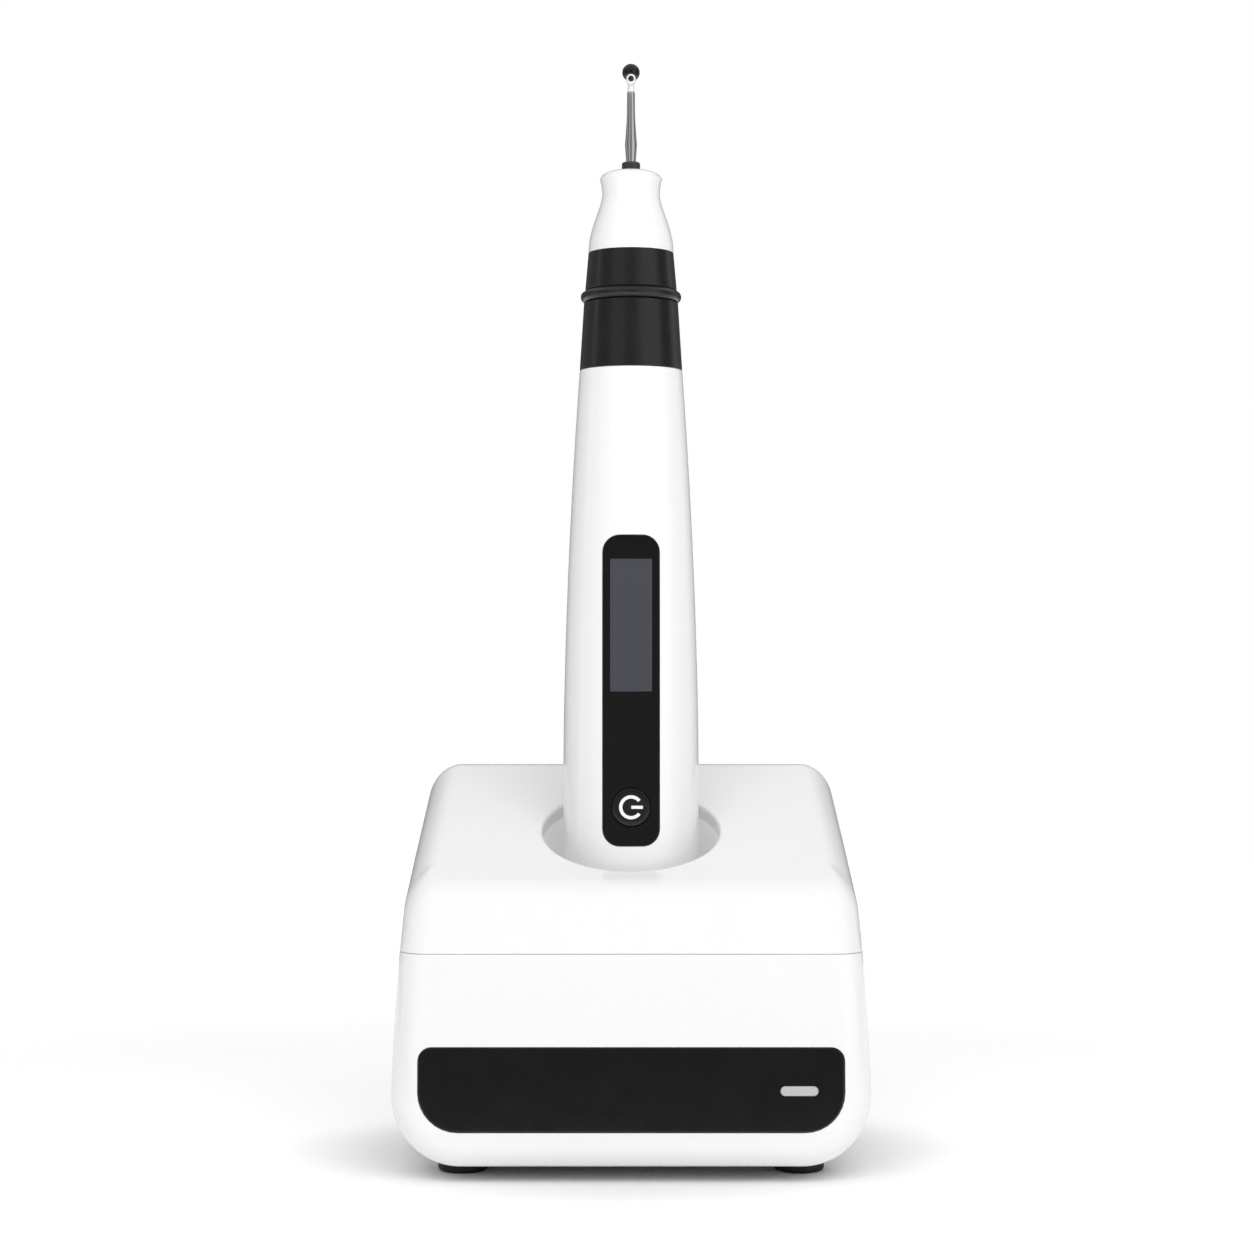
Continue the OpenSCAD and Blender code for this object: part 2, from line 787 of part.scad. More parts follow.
module socket_block() {
    color([0.2, 0.2, 0.2]) difference() {
        rod(4, 176, 190.9);
        rod(1.3, 180.8, 192);
    }
}

module socket_contacts() {
    color("gold") {
        tube(1.28, 1, 186.5, 189.5);
        tube(1.28, 0.62, 181, 184.2);
    }
}

module tip_leads() {
    color("firebrick") left_and_right(lead_x) translate([0, lead_y, 0]) rod(0.6, cell_z + cell_h + 4, 176);
}

// ---------- tip and its turning collar ----------

module collar_sleeve() {
    color("gray") lathe([
        [1, 191.1], [2.2, 191.1], [2.2, 191.8], [1.46, 191.8], [1.46, 197.4], [1, 197.4]]);
}

module tip_collar() {
    r = 1.83;
    bottom = nose_top_z + 0.12;
    color([0.25, 0.25, 0.25]) lathe([
        [1.48, bottom], [r, bottom], [r, collar_top_z - 0.35], [r - 0.1, collar_top_z - 0.1],
        [r - 0.35, collar_top_z], [1, collar_top_z], [1, 197.42], [1.48, 197.42]]);
}

// The plug below the shaft: it stands in the socket and stops a fit gap short of the shaft.
module tip_plug() {
    color("gray") lathe([
        [shaft_bore_r, plug_bottom_z], [shank_r, plug_bottom_z], [shank_r, plug_top_z],
        [shaft_bore_r, plug_top_z]]);
}

module tip_shaft() {
    bottom = plug_top_z + 0.02;
    color("gray") lathe([
        [shaft_bore_r, bottom], [shank_r, bottom], [1.2, 201.6], [0.84, 206.6], [0.78, shaft_top_z],
        [shaft_bore_r, shaft_top_z]]);
}

module tip_insulator() {
    color("white") tube(0.4, 0.22, 184.7, shaft_top_z);
}

module tip_wire() {
    color("peru") rod(0.2, 184.7, shaft_top_z);
}

module tip_contact() {
    color("gold") lathe([[0, 181.4], [0.3, 181.4], [0.57, 181.9], [0.57, 184.7], [0, 184.7]]);
}

module elbow_solid() {
    rod(0.65, shaft_top_z, elbow_z);
    translate([0, 0, elbow_z]) {
        sphere(r = 0.93);
        rotate([90, 0, 0]) cylinder(r = 0.93, h = 1.5);
    }
}

module tip_elbow() {
    color("silver") difference() {
        elbow_solid();
        translate([0, 0, elbow_z]) rotate([90, 0, 0]) translate([0, 0, 0.4]) cylinder(r = 0.52, h = 5);
    }
}

module plugger_nib() {
    color([0.2, 0.2, 0.2]) translate([0, 0, elbow_z]) rotate([90, 0, 0])
        lathe([[0, 0.4], [0.5, 0.4], [0.5, 1.55], [0.3, 1.75], [0, 1.8]]);
}

module color_bead() {
    color([0.06, 0.06, 0.06]) difference() {
        translate([0, 0.55, bead_z]) sphere(r = bead_r);
        elbow_solid();
    }
}

upper_cover();
lower_shell();
base_plate();
ballast_plate();
rubber_feet();
base_screws();
cover_screws();
front_strip();
light_pipe();
status_led();
charge_board();
board_chips();
board_screws();
well_cup();
pin_block();
charge_pins();
pin_springs();
power_inlet();
rear_cap();
rear_seal();
cap_screws();
charge_pads();
body_shell();
chassis();
battery_cell();
battery_tabs();
main_board();
main_board_chips();
main_board_screws();
display_module();
panel_lens();
power_switch();
power_button();
buzzer();
core_tube();
lower_band();
activation_ring();
upper_band();
ring_flex_board();
ring_switches();
nose_cone();
nose_bush();
socket_block();
socket_contacts();
tip_leads();
collar_sleeve();
tip_collar();
tip_plug();
tip_shaft();
tip_insulator();
tip_wire();
tip_contact();
tip_elbow();
plugger_nib();
color_bead();
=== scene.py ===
import math

import bmesh
import bpy
import numpy as np
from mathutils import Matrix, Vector


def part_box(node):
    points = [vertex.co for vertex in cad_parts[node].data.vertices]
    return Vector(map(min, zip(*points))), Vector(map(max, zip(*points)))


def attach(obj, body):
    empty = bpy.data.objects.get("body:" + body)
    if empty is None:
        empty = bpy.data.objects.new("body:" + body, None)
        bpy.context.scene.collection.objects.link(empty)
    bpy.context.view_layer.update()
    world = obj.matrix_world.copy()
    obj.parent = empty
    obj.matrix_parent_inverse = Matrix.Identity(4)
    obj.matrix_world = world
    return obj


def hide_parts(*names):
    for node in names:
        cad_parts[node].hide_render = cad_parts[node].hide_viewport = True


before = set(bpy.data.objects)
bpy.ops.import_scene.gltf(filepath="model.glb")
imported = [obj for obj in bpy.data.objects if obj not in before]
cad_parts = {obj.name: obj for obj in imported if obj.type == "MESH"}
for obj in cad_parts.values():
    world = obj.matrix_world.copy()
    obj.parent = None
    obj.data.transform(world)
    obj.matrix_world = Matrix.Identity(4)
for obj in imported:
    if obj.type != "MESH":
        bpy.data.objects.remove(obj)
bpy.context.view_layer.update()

# Lengths in this script are millimetres in the row's frame, and meshes are stored in metres.
MM = 0.001
SEGMENTS = 144


def box_mm(node):
    """Lowest and highest corner of a CAD node in millimetres."""
    low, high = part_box(node)
    return [c / MM for c in low], [c / MM for c in high]


# ---------- meshes ----------

def finish_mesh(obj, sharp=32):
    """Welds, points the faces outwards and shades smooth, apart from edges sharper than sharp degrees."""
    work = bmesh.new()
    work.from_mesh(obj.data)
    bmesh.ops.remove_doubles(work, verts=work.verts, dist=1e-7)
    bmesh.ops.dissolve_degenerate(work, edges=work.edges, dist=1e-7)
    bmesh.ops.recalc_face_normals(work, faces=work.faces)
    work.to_mesh(obj.data)
    work.free()
    obj.data.shade_smooth()
    obj.data.set_sharp_from_angle(angle=math.radians(sharp))
    return obj


def new_object(name, points, faces):
    mesh = bpy.data.meshes.new(name)
    mesh.from_pydata([tuple(float(c) * MM for c in p) for p in points], [], faces)
    obj = bpy.data.objects.new(name, mesh)
    bpy.context.scene.collection.objects.link(obj)
    return finish_mesh(obj)


def keep_flats_flat(obj):
    """Lets large faces set the shading, so that flat faces stay flat beside their rounded edges."""
    step = obj.modifiers.new("weighted_normals", "WEIGHTED_NORMAL")
    step.keep_sharp = True
    step.weight = 50
    return obj


def corner(before, point, after, steps):
    """Points of one rounded corner. point is (x, y, radius)."""
    here = np.array(point[:2], float)
    if point[2] <= 0:
        return [tuple(here)]
    to_before = np.array(before[:2], float) - here
    to_after = np.array(after[:2], float) - here
    to_before /= np.linalg.norm(to_before)
    to_after /= np.linalg.norm(to_after)
    half = math.acos(float(np.clip(to_before @ to_after, -1, 1))) / 2
    middle = to_before + to_after
    centre = here + middle / np.linalg.norm(middle) * point[2] / math.sin(half)
    start = here + to_before * point[2] / math.tan(half) - centre
    end = here + to_after * point[2] / math.tan(half) - centre
    first = math.atan2(start[1], start[0])
    turn = (math.atan2(end[1], end[0]) - first + 3 * math.pi) % (2 * math.pi) - math.pi
    return [tuple(centre + point[2] * np.array([math.cos(first + turn * i / steps),
                                                math.sin(first + turn * i / steps)]))
            for i in range(steps + 1)]


def rounded(points, steps=6):
    """A closed outline through points (x, y) or (x, y, corner radius)."""
    full = [tuple(p) + (0,) * (3 - len(p)) for p in points]
    count = len(full)
    return [q for i, p in enumerate(full)
            for q in corner(full[i - 1], p, full[(i + 1) % count], steps)]


def lathe(name, profile, segments=SEGMENTS, place=None):
    """A closed profile of (radius, height) turned about the Z axis, or about the axis that place gives."""
    points, rings = [], []
    for radius, height in profile:
        if radius < 1e-6:
            rings.append([len(points)] * segments)
            points.append((0, 0, height))
        else:
            rings.append([len(points) + i for i in range(segments)])
            points += [(radius * math.cos(2 * math.pi * i / segments),
                        radius * math.sin(2 * math.pi * i / segments), height) for i in range(segments)]
    faces = []
    for lower, upper in zip(rings, rings[1:] + rings[:1]):
        for i in range(segments):
            j = (i + 1) % segments
            face = []
            for v in (lower[i], lower[j], upper[j], upper[i]):
                if v not in face:
                    face.append(v)
            if len(face) > 2:
                faces.append(face)
    if place:
        points = [place(*p) for p in points]
    return new_object(name, points, faces)


def plate(name, outline, place, back, front, edge=0.0, steps=3):
    """A plate between back and front, with its front edge rounded. outline(inset) gives its outline."""
    levels = [(0, back), (0, front - edge)]
    if edge:
        levels += [(edge * (1 - math.cos(a)), front - edge + edge * math.sin(a))
                   for a in [math.pi / 2 * (i + 1) / steps for i in range(steps)]]
    points, count = [], len(outline(0))
    for inset, level in levels:
        points += [place(x, y, level) for x, y in outline(inset)]
    faces = [list(range(count))[::-1], [len(points) - count + i for i in range(count)]]
    for ring in range(len(levels) - 1):
        a, b = ring * count, (ring + 1) * count
        faces += [[a + i, a + (i + 1) % count, b + (i + 1) % count, b + i] for i in range(count)]
    return new_object(name, points, faces)


def on_plane(origin, lean):
    """Places (across, up, out) on an upright plane that faces -Y and leans back by lean degrees."""
    s, c = math.sin(math.radians(lean)), math.cos(math.radians(lean))
    ox, oy, oz = origin
    return lambda u, v, w: (ox + u, oy + v * s - w * c, oz + v * c + w * s)


def from_above(x, y, z):
    return (x, y, z)


def rectangle(half_w, half_h, radius, centre=(0, 0), steps=6):
    cx, cy = centre

    def outline(inset):
        w, h, r = half_w - inset, half_h - inset, max(radius - inset, 0.01)
        return rounded([(cx - w, cy - h, r), (cx + w, cy - h, r), (cx + w, cy + h, r), (cx - w, cy + h, r)],
                       steps)
    return outline


def boolean(obj, tool, operation="DIFFERENCE"):
    """Applies a boolean with tool, which is then removed."""
    step = obj.modifiers.new(operation.lower(), "BOOLEAN")
    step.operation = operation
    step.solver = "EXACT"
    step.object = tool
    bpy.context.view_layer.update()
    shaped = bpy.data.meshes.new_from_object(obj.evaluated_get(bpy.context.evaluated_depsgraph_get()))
    obj.modifiers.clear()
    obj.data = shaped
    bpy.data.objects.remove(tool)
    return finish_mesh(obj)


def cut(obj, *tools):
    for tool in tools:
        boolean(obj, tool)
    return obj


# ---------- materials ----------

# The part of a noise texture's range that most of its values fall in.
NOISE_LOW, NOISE_HIGH = 0.3, 0.7


class Nodes:
    """Short calls for building one material's node tree."""

    def __init__(self, name):
        self.material = bpy.data.materials.new(name)
        self.material.use_nodes = True
        self.tree = self.material.node_tree
        self.shader = self.tree.nodes["Principled BSDF"]
        self.coords = self.add("ShaderNodeTexCoord").outputs["Object"]

    def add(self, kind, **values):
        node = self.tree.nodes.new(kind)
        for key, value in values.items():
            setattr(node, key, value)
        return node

    def link(self, out, socket):
        self.tree.links.new(out, socket)

    def noise(self, feature_mm, detail=2.0, stretch=(1, 1, 1)):
        """Noise with features of that size, drawn out along an axis where stretch is above 1."""
        mapping = self.add("ShaderNodeMapping")
        mapping.inputs["Scale"].default_value = [1 / (feature_mm * MM * s) for s in stretch]
        self.link(self.coords, mapping.inputs["Vector"])
        node = self.add("ShaderNodeTexNoise")
        node.inputs["Scale"].default_value = 1.0
        node.inputs["Detail"].default_value = detail
        self.link(mapping.outputs["Vector"], node.inputs["Vector"])
        return node.outputs["Fac"]

    def spread(self, out, low, high, socket):
        node = self.add("ShaderNodeMapRange")
        node.inputs["From Min"].default_value = NOISE_LOW
        node.inputs["From Max"].default_value = NOISE_HIGH
        node.inputs["To Min"].default_value = low
        node.inputs["To Max"].default_value = high
        self.link(out, node.inputs["Value"])
        self.link(node.outputs["Result"], socket)

    def tint(self, out, dark, light):
        ramp = self.add("ShaderNodeValToRGB")
        ramp.color_ramp.elements[0].position = NOISE_LOW
        ramp.color_ramp.elements[1].position = NOISE_HIGH
        ramp.color_ramp.elements[0].color = (*dark, 1)
        ramp.color_ramp.elements[1].color = (*light, 1)
        self.link(out, ramp.inputs["Fac"])
        self.link(ramp.outputs["Color"], self.shader.inputs["Base Color"])

    def bump(self, out, depth_mm):
        node = self.add("ShaderNodeBump")
        node.inputs["Strength"].default_value = 1.0
        node.inputs["Distance"].default_value = depth_mm * MM
        self.link(out, node.inputs["Height"])
        self.link(node.outputs["Normal"], self.shader.inputs["Normal"])


PLASTIC_IOR = 1.46


def surface(name, colour, rough, vary=0.04, rough_vary=0.04, grain_mm=0.5, grain_depth=0.004,
            patch_mm=9.0, stretch=(1, 1, 1), metallic=0.0, painted_light=0.0):
    """A finish with slow colour variation, uneven roughness and a fine grain. Its emission strength, where
    it is set, is painted light: the finish glows though it is no lamp.
    """
    nodes = Nodes(name)
    shader = nodes.shader
    shader.inputs["Metallic"].default_value = metallic
    shader.inputs["IOR"].default_value = PLASTIC_IOR
    shader.inputs["Emission Color"].default_value = (1, 1, 1, 1)
    shader.inputs["Emission Strength"].default_value = painted_light
    nodes.tint(nodes.noise(patch_mm, 3, stretch), [c * (1 - vary) for c in colour], colour)
    nodes.spread(nodes.noise(patch_mm * 0.6, 3, stretch), max(rough - rough_vary, 0.01), rough + rough_vary,
                 shader.inputs["Roughness"])
    nodes.bump(nodes.noise(grain_mm, 2, stretch), grain_depth)
    return nodes.material


MATERIALS = {
    "white_plastic": surface("white_plastic", (0.88, 0.88, 0.885), 0.12, vary=0.008, rough_vary=0.03,
                             grain_mm=0.9, grain_depth=0.0006),
    # painted light: the cup is lighter than the white plastic and glows a little, which brightens the shaded
    # inside of the well
    "cup_plastic": surface("cup_plastic", (0.96, 0.96, 0.96), 0.18, vary=0.02, grain_depth=0.003,
                           painted_light=0.1),
    "base_plastic": surface("base_plastic", (0.62, 0.63, 0.64), 0.5, grain_depth=0.01),
    "band_plastic": surface("band_plastic", (0.010, 0.010, 0.0105), 0.27, vary=0.1, rough_vary=0.04,
                            grain_mm=0.35, grain_depth=0.004),
    "panel_black": surface("panel_black", (0.0055, 0.0055, 0.006), 0.1, vary=0.1, rough_vary=0.02,
                           grain_mm=1.5, grain_depth=0.0004),
    "button_black": surface("button_black", (0.007, 0.007, 0.0075), 0.22, vary=0.1, grain_mm=0.3,
                            grain_depth=0.002),
    "screen_glass": surface("screen_glass", (0.062, 0.062, 0.075), 0.14, vary=0.03, rough_vary=0.02,
                            grain_mm=1.5, grain_depth=0.0003),
    "light_diffuser": surface("light_diffuser", (0.52, 0.52, 0.52), 0.4, vary=0.04, grain_depth=0.003),
    "led_package": surface("led_package", (0.85, 0.8, 0.55), 0.35),
    "foot_rubber": surface("foot_rubber", (0.012, 0.012, 0.012), 0.62, vary=0.2, rough_vary=0.08,
                           grain_mm=0.3, grain_depth=0.02),
    "inner_plastic": surface("inner_plastic", (0.05, 0.055, 0.06), 0.55, grain_depth=0.01),
    "board_green": surface("board_green", (0.01, 0.11, 0.04), 0.32, vary=0.25, patch_mm=2.5),
    "flex_amber": surface("flex_amber", (0.6, 0.24, 0.02), 0.35, vary=0.15, patch_mm=2),
    "lead_red": surface("lead_red", (0.45, 0.02, 0.02), 0.4, vary=0.1),
    "cell_wrap": surface("cell_wrap", (0.05, 0.16, 0.42), 0.3, vary=0.08, grain_depth=0.01),
    "screw_steel": surface("screw_steel", (0.62, 0.62, 0.62), 0.28, metallic=1, vary=0.08, patch_mm=1.2,
                           grain_mm=0.2, grain_depth=0.003),
    "gold_plate": surface("gold_plate", (0.83, 0.62, 0.25), 0.2, metallic=1, vary=0.06, patch_mm=1),
    "tip_steel": surface("tip_steel", (0.62, 0.62, 0.63), 0.13, metallic=1, vary=0.06, rough_vary=0.04,
                         patch_mm=0.8, grain_mm=0.25, grain_depth=0.0002, stretch=(6, 6, 0.4)),
    "collar_dark": surface("collar_dark", (0.07, 0.07, 0.075), 0.32, metallic=0.6, vary=0.15,
                           patch_mm=0.8, grain_mm=0.15, grain_depth=0.002),
    "elbow_chrome": surface("elbow_chrome", (0.94, 0.94, 0.94), 0.3, metallic=0.35, vary=0.04, patch_mm=0.8,
                            grain_mm=0.2, grain_depth=0.0006),
    "nib_dark": surface("nib_dark", (0.03, 0.03, 0.03), 0.3, metallic=0.4, vary=0.1, patch_mm=0.4),
    "bead_black": surface("bead_black", (0.006, 0.006, 0.006), 0.1, vary=0.2, rough_vary=0.03,
                          grain_mm=0.5, grain_depth=0.0008),
    "insulation": surface("insulation", (0.8, 0.78, 0.72), 0.45),
    "copper": surface("copper", (0.75, 0.33, 0.17), 0.25, metallic=1),
    "mark_white": surface("mark_white", (0.9, 0.9, 0.9), 0.4, vary=0.02, grain_depth=0.001),
}


def paint(obj, slot):
    obj.data.materials.clear()
    obj.data.materials.append(MATERIALS[slot])
    return obj


def piece(obj, slot, body, *stands_for):
    """Gives a piece its finish and its body, and hides the CAD nodes that it stands for."""
    paint(keep_flats_flat(obj), slot)
    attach(obj, body)
    if stands_for:
        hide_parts(*stands_for)
    return obj


# ---------- dock form ----------

SHELL_LOW, SHELL_HIGH = box_mm("lower_shell")
HALF_W = SHELL_HIGH[0]
BACK_Y = SHELL_HIGH[1]
UNDERSIDE_Z = SHELL_LOW[2]
FRONT_Y = -34.6
TOP_Z = 64.8
TOP_SLOPE = math.radians(21.5)
PARTING_Z = 43.1
PARTING_GAP = 0.04
CREASE_Y = -23.5
FACET_BOTTOM_Y = -31.0
WIDEST_Z = 15.0
SIDE_TAPER = 0.045
SIDE_BOW = 1500.0
SIDE_BLEND = 8.0
MOUTH_R = 17.7
WALL = 2.4
LIP_ROUND = 0.6


def fillet(a, b, radius):
    """The surface of two solids' overlap, with the edge between them rounded."""
    return (np.minimum(np.maximum(a, b), -radius)
            + np.hypot(np.maximum(a + radius, 0), np.maximum(b + radius, 0)))


def edge_size(radius, turn_degrees):
    """The fillet size that gives an edge between faces that turn by that angle the true radius."""
    return radius * (1 - math.cos(math.radians(turn_degrees)))


def beyond(y, z, a, b):
    """Distance in front of the line from a up to b, both (y, z), seen from the side."""
    along = np.array([b[0] - a[0], b[1] - a[1]], float)
    along /= np.linalg.norm(along)
    return -(y - a[0]) * along[1] + (z - a[1]) * along[0]


FRONT_FOOT = (FRONT_Y, UNDERSIDE_Z)
FACET_FOOT = (FACET_BOTTOM_Y, PARTING_Z)
CREASE = (CREASE_Y, TOP_Z + CREASE_Y * math.tan(TOP_SLOPE))
PLAN_ROUND = 6.0
SIDE_EDGE = edge_size(6.5, 85)
BACK_EDGE = edge_size(4.0, 111.5)
CREASE_EDGE = edge_size(8.0, 37)
FACET_EDGE = edge_size(2.5, 26)
FOOT_ROUND = 13.5
FOOT_EDGE = 4.5


def share(a, b, radius):
    """How far a fillet between two surfaces has turned from b, where it is 0, to a, where it is 1."""
    u, v = np.maximum(a + radius, 0) ** 2, np.maximum(b + radius, 0) ** 2
    return u / np.maximum(u + v, 1e-9)


def dock_distance(x, y, z):
    """Below zero inside the dock's outer form, and close to the distance from its surface."""
    rise = (z - WIDEST_Z + np.hypot(z - WIDEST_Z, SIDE_BLEND)) / 2
    side = np.abs(x) - HALF_W + SIDE_TAPER * (rise - SIDE_BLEND / 2) + rise ** 2 / (2 * SIDE_BOW)
    under = UNDERSIDE_Z - z
    front = fillet(beyond(y, z, FRONT_FOOT, FACET_FOOT), beyond(y, z, FACET_FOOT, CREASE), FACET_EDGE)
    ends = np.maximum(front, y - BACK_Y)
    low = share(under, side, FOOT_ROUND)
    walls = fillet(fillet(side, under, FOOT_ROUND), ends, PLAN_ROUND * (1 - low) + FOOT_EDGE * low)
    sideways = share(side, ends, PLAN_ROUND)
    top = (z - TOP_Z - y * math.tan(TOP_SLOPE)) * math.cos(TOP_SLOPE)
    end_edge = np.where(y > 0, BACK_EDGE, CREASE_EDGE)
    return fillet(walls, top, SIDE_EDGE * sideways + end_edge * (1 - sideways))


FAR = 120.0
HALVINGS = 44


def reach(solid, azimuth, origin, angle):
    """Where rays in the upright planes at azimuth leave a solid: origin is (radius, height)."""
    near, far = np.zeros_like(angle), np.full_like(angle, FAR)
    for _ in range(HALVINGS):
        middle = (near + far) / 2
        radius = origin[0] + middle * np.cos(angle)
        height = origin[1] + middle * np.sin(angle)
        inside = solid(radius * np.cos(azimuth), radius * np.sin(azimuth), height) < 0
        near, far = np.where(inside, middle, near), np.where(inside, far, middle)
    return np.stack([origin[0] + near * np.cos(angle), origin[1] + near * np.sin(angle)], axis=-1)


def resample(lines, count, bend=3.0):
    """count points on each line, closer together where it bends. lines is (lines, points, 2)."""
    steps = np.diff(lines, axis=1)
    length = np.linalg.norm(steps, axis=-1)
    heading = np.unwrap(np.arctan2(steps[..., 1], steps[..., 0]), axis=1)
    turn = np.abs(np.diff(heading, axis=1, prepend=heading[:, :1]))
    measure = np.concatenate([np.zeros((len(lines), 1)), np.cumsum(length + bend * turn, axis=1)], axis=1)
    out = []
    for line, along in zip(lines, measure):
        at = np.linspace(0, along[-1], count)
        out.append(np.stack([np.interp(at, along, line[:, 0]), np.interp(at, along, line[:, 1])], axis=-1))
    return np.array(out)


PLAN_STEPS = 2880
PLAN_LEVEL = 25.0


def azimuths(count):
    """Azimuths round the dock, closer together at its rounded corners."""
    dense = np.linspace(0, 2 * math.pi, PLAN_STEPS + 1)[:, None]
    plan = reach(dock_distance, dense, (np.zeros_like(dense), np.full_like(dense, PLAN_LEVEL)),
                 np.zeros_like(dense))[:, 0, 0]
    ring = np.stack([plan * np.cos(dense[:, 0]), plan * np.sin(dense[:, 0])], axis=-1)[None]
    even = resample(ring, count + 1, bend=14.0)[0][:-1]
    return np.unwrap(np.arctan2(even[:, 1], even[:, 0]))[:, None]


def radius_at(azimuth, height, inset=0.0):
    """How far out the dock's surface is at each azimuth, at that height, moved in by inset."""
    flat = np.zeros_like(azimuth)
    hits = reach(lambda x, y, z: dock_distance(x, y, z) + inset, azimuth, (flat, flat + height), flat)
    return hits[:, 0, 0]


def level(azimuth, height, inset, shift=0.0):
    """One point on each line, at a height, on the surface moved in by inset."""
    radius = radius_at(azimuth, height, inset) - shift
    return np.stack([radius, np.full_like(radius, height)], axis=-1)[:, None]


def ring_mesh(name, azimuth, loops):
    """A closed solid from one closed (radius, height) loop at each azimuth."""
    count, size = loops.shape[:2]
    points = np.stack([loops[..., 0] * np.cos(azimuth), loops[..., 0] * np.sin(azimuth), loops[..., 1]],
                      axis=-1).reshape(-1, 3)
    faces = [[i * size + j, ((i + 1) % count) * size + j, ((i + 1) % count) * size + (j + 1) % size,
              i * size + (j + 1) % size] for i in range(count) for j in range(size)]
    return new_object(name, points, faces)


def fan(azimuth, origin, start, end, solid, rays=260):
    """Points on a solid's surface between two points of each line, seen from origin."""
    first = np.arctan2(start[:, 0, 1] - origin[1][:, 0], start[:, 0, 0] - origin[0][:, 0])
    last = np.arctan2(end[:, 0, 1] - origin[1][:, 0], end[:, 0, 0] - origin[0][:, 0])
    last = np.where(end[:, 0, 1] < start[:, 0, 1], np.where(last > first, last - 2 * math.pi, last), last)
    angle = first[:, None] + (last - first)[:, None] * np.linspace(0, 1, rays)[None]
    return reach(solid, azimuth, origin, angle)


RIM_SOFT = 0.1


def rounded_rim(azimuth, rim_z, up):
    """Two points on each line that soften a rim's outer edge. up is 1 where the wall rises from the rim."""
    small = RIM_SOFT * 0.3
    return [level(azimuth, rim_z + up * small, 0, small), level(azimuth, rim_z, 0, RIM_SOFT)]


def make_cover(azimuth):
    rim_z = PARTING_Z + PARTING_GAP
    out_r = radius_at(azimuth, rim_z)[:, None]
    origin = (MOUTH_R + 0.45 * (out_r - MOUTH_R), np.full_like(out_r, rim_z))

    def opened(x, y, z):
        return fillet(dock_distance(x, y, z), MOUTH_R - np.hypot(x, y), LIP_ROUND)

    # Height at which the bore meets the cover's inner surface, on each line
    low, high = np.full(len(azimuth), rim_z), np.full(len(azimuth), FAR)
    bore_x, bore_y = MOUTH_R * np.cos(azimuth[:, 0]), MOUTH_R * np.sin(azimuth[:, 0])
    for _ in range(HALVINGS):
        middle = (low + high) / 2
        inside = dock_distance(bore_x, bore_y, middle) < -WALL
        low, high = np.where(inside, middle, low), np.where(inside, high, middle)
    bore = np.stack([np.full_like(low, MOUTH_R), low], axis=-1)[:, None]
    outer = resample(fan(azimuth, origin, level(azimuth, rim_z + RIM_SOFT, 0), bore, opened), 60)
    outer[:, -1] = bore[:, 0]
    inner = resample(fan(azimuth, origin, level(azimuth, rim_z, WALL), bore,
                         lambda x, y, z: dock_distance(x, y, z) + WALL), 26)
    rim = rounded_rim(azimuth, rim_z, 1)
    loops = np.concatenate([inner[:, :1], rim[1], rim[0], outer, inner[:, -2:0:-1]], axis=1)
    return ring_mesh("cover_skin", azimuth, loops)


HUB_R = 12.0
TONGUE_SLIP = 0.1
TONGUE_BACK = 1.2
TONGUE_UP = 1.8
TONGUE_DOWN = 3
RIB_DOWN = 4.2


def make_shell(azimuth):
    rim_z = PARTING_Z - PARTING_GAP
    floor_z = UNDERSIDE_Z + WALL
    flat = np.zeros_like(azimuth)
    origin = (flat + 20.0, flat + 22.0)
    hub = np.full((len(azimuth), 1), HUB_R)
    hub_out = np.stack([hub, np.full_like(hub, UNDERSIDE_Z)], axis=-1)
    hub_in = np.stack([hub, np.full_like(hub, floor_z)], axis=-1)
    outer = resample(fan(azimuth, origin, level(azimuth, rim_z - RIM_SOFT, 0), hub_out, dock_distance), 56)
    outer[:, -1] = hub_out[:, 0]
    tongue = [level(azimuth, z, inset) for z, inset in
              [(rim_z, WALL + TONGUE_SLIP), (PARTING_Z + TONGUE_UP, WALL + TONGUE_SLIP),
               (PARTING_Z + TONGUE_UP, WALL + TONGUE_BACK), (PARTING_Z - TONGUE_DOWN, WALL + TONGUE_BACK),
               (PARTING_Z - RIB_DOWN, WALL)]]
    inner = resample(fan(azimuth, origin, level(azimuth, PARTING_Z - RIB_DOWN - 0.2, WALL), hub_in,
                         lambda x, y, z: dock_distance(x, y, z) + WALL), 30)
    inner[:, -1] = hub_in[:, 0]
    rim = rounded_rim(azimuth, rim_z, -1)
    loops = np.concatenate([tongue[0], rim[1], rim[0], outer, inner[:, ::-1]] + tongue[:0:-1], axis=1)
    return ring_mesh("shell_skin", azimuth, loops)


# ---------- dock ----------

FRONT_LEAN = math.degrees(math.atan2(FACET_BOTTOM_Y - FRONT_Y, PARTING_Z - UNDERSIDE_Z))
on_front = on_plane((0, FRONT_Y, UNDERSIDE_Z), FRONT_LEAN)
STRIP_LOW, STRIP_HIGH = box_mm("front_strip")
STRIP_T = 1.0
LIGHT_LOW, LIGHT_HIGH = box_mm("light_pipe")
LIGHT_X = (LIGHT_LOW[0] + LIGHT_HIGH[0]) / 2
LIGHT_W = LIGHT_HIGH[0] - LIGHT_LOW[0]
LIGHT_H = 1.9
LIGHT_Z = 17.65
INLET_Z = 18.2
INLET_R = 4.6
# The base plate's seat and the opening above it: half width, half depth and corner radius.
PLATE_SEAT = (27.1, 26.1, 4)
PLATE_OPENING = (20.5, 19.5, 3)
PLATE_T = 1.2
FOOT_R = 4.9
FOOT_POCKET = 0.9
FEET_LOW, FEET_HIGH = box_mm("rubber_feet")
FEET = [(x, y) for x in (FEET_LOW[0] + FOOT_R, FEET_HIGH[0] - FOOT_R)
        for y in (FEET_LOW[1] + FOOT_R, FEET_HIGH[1] - FOOT_R)]


def up_front(z):
    """Height up the leaning front of a height above the table."""
    return (z - UNDERSIDE_Z) / math.cos(math.radians(FRONT_LEAN))


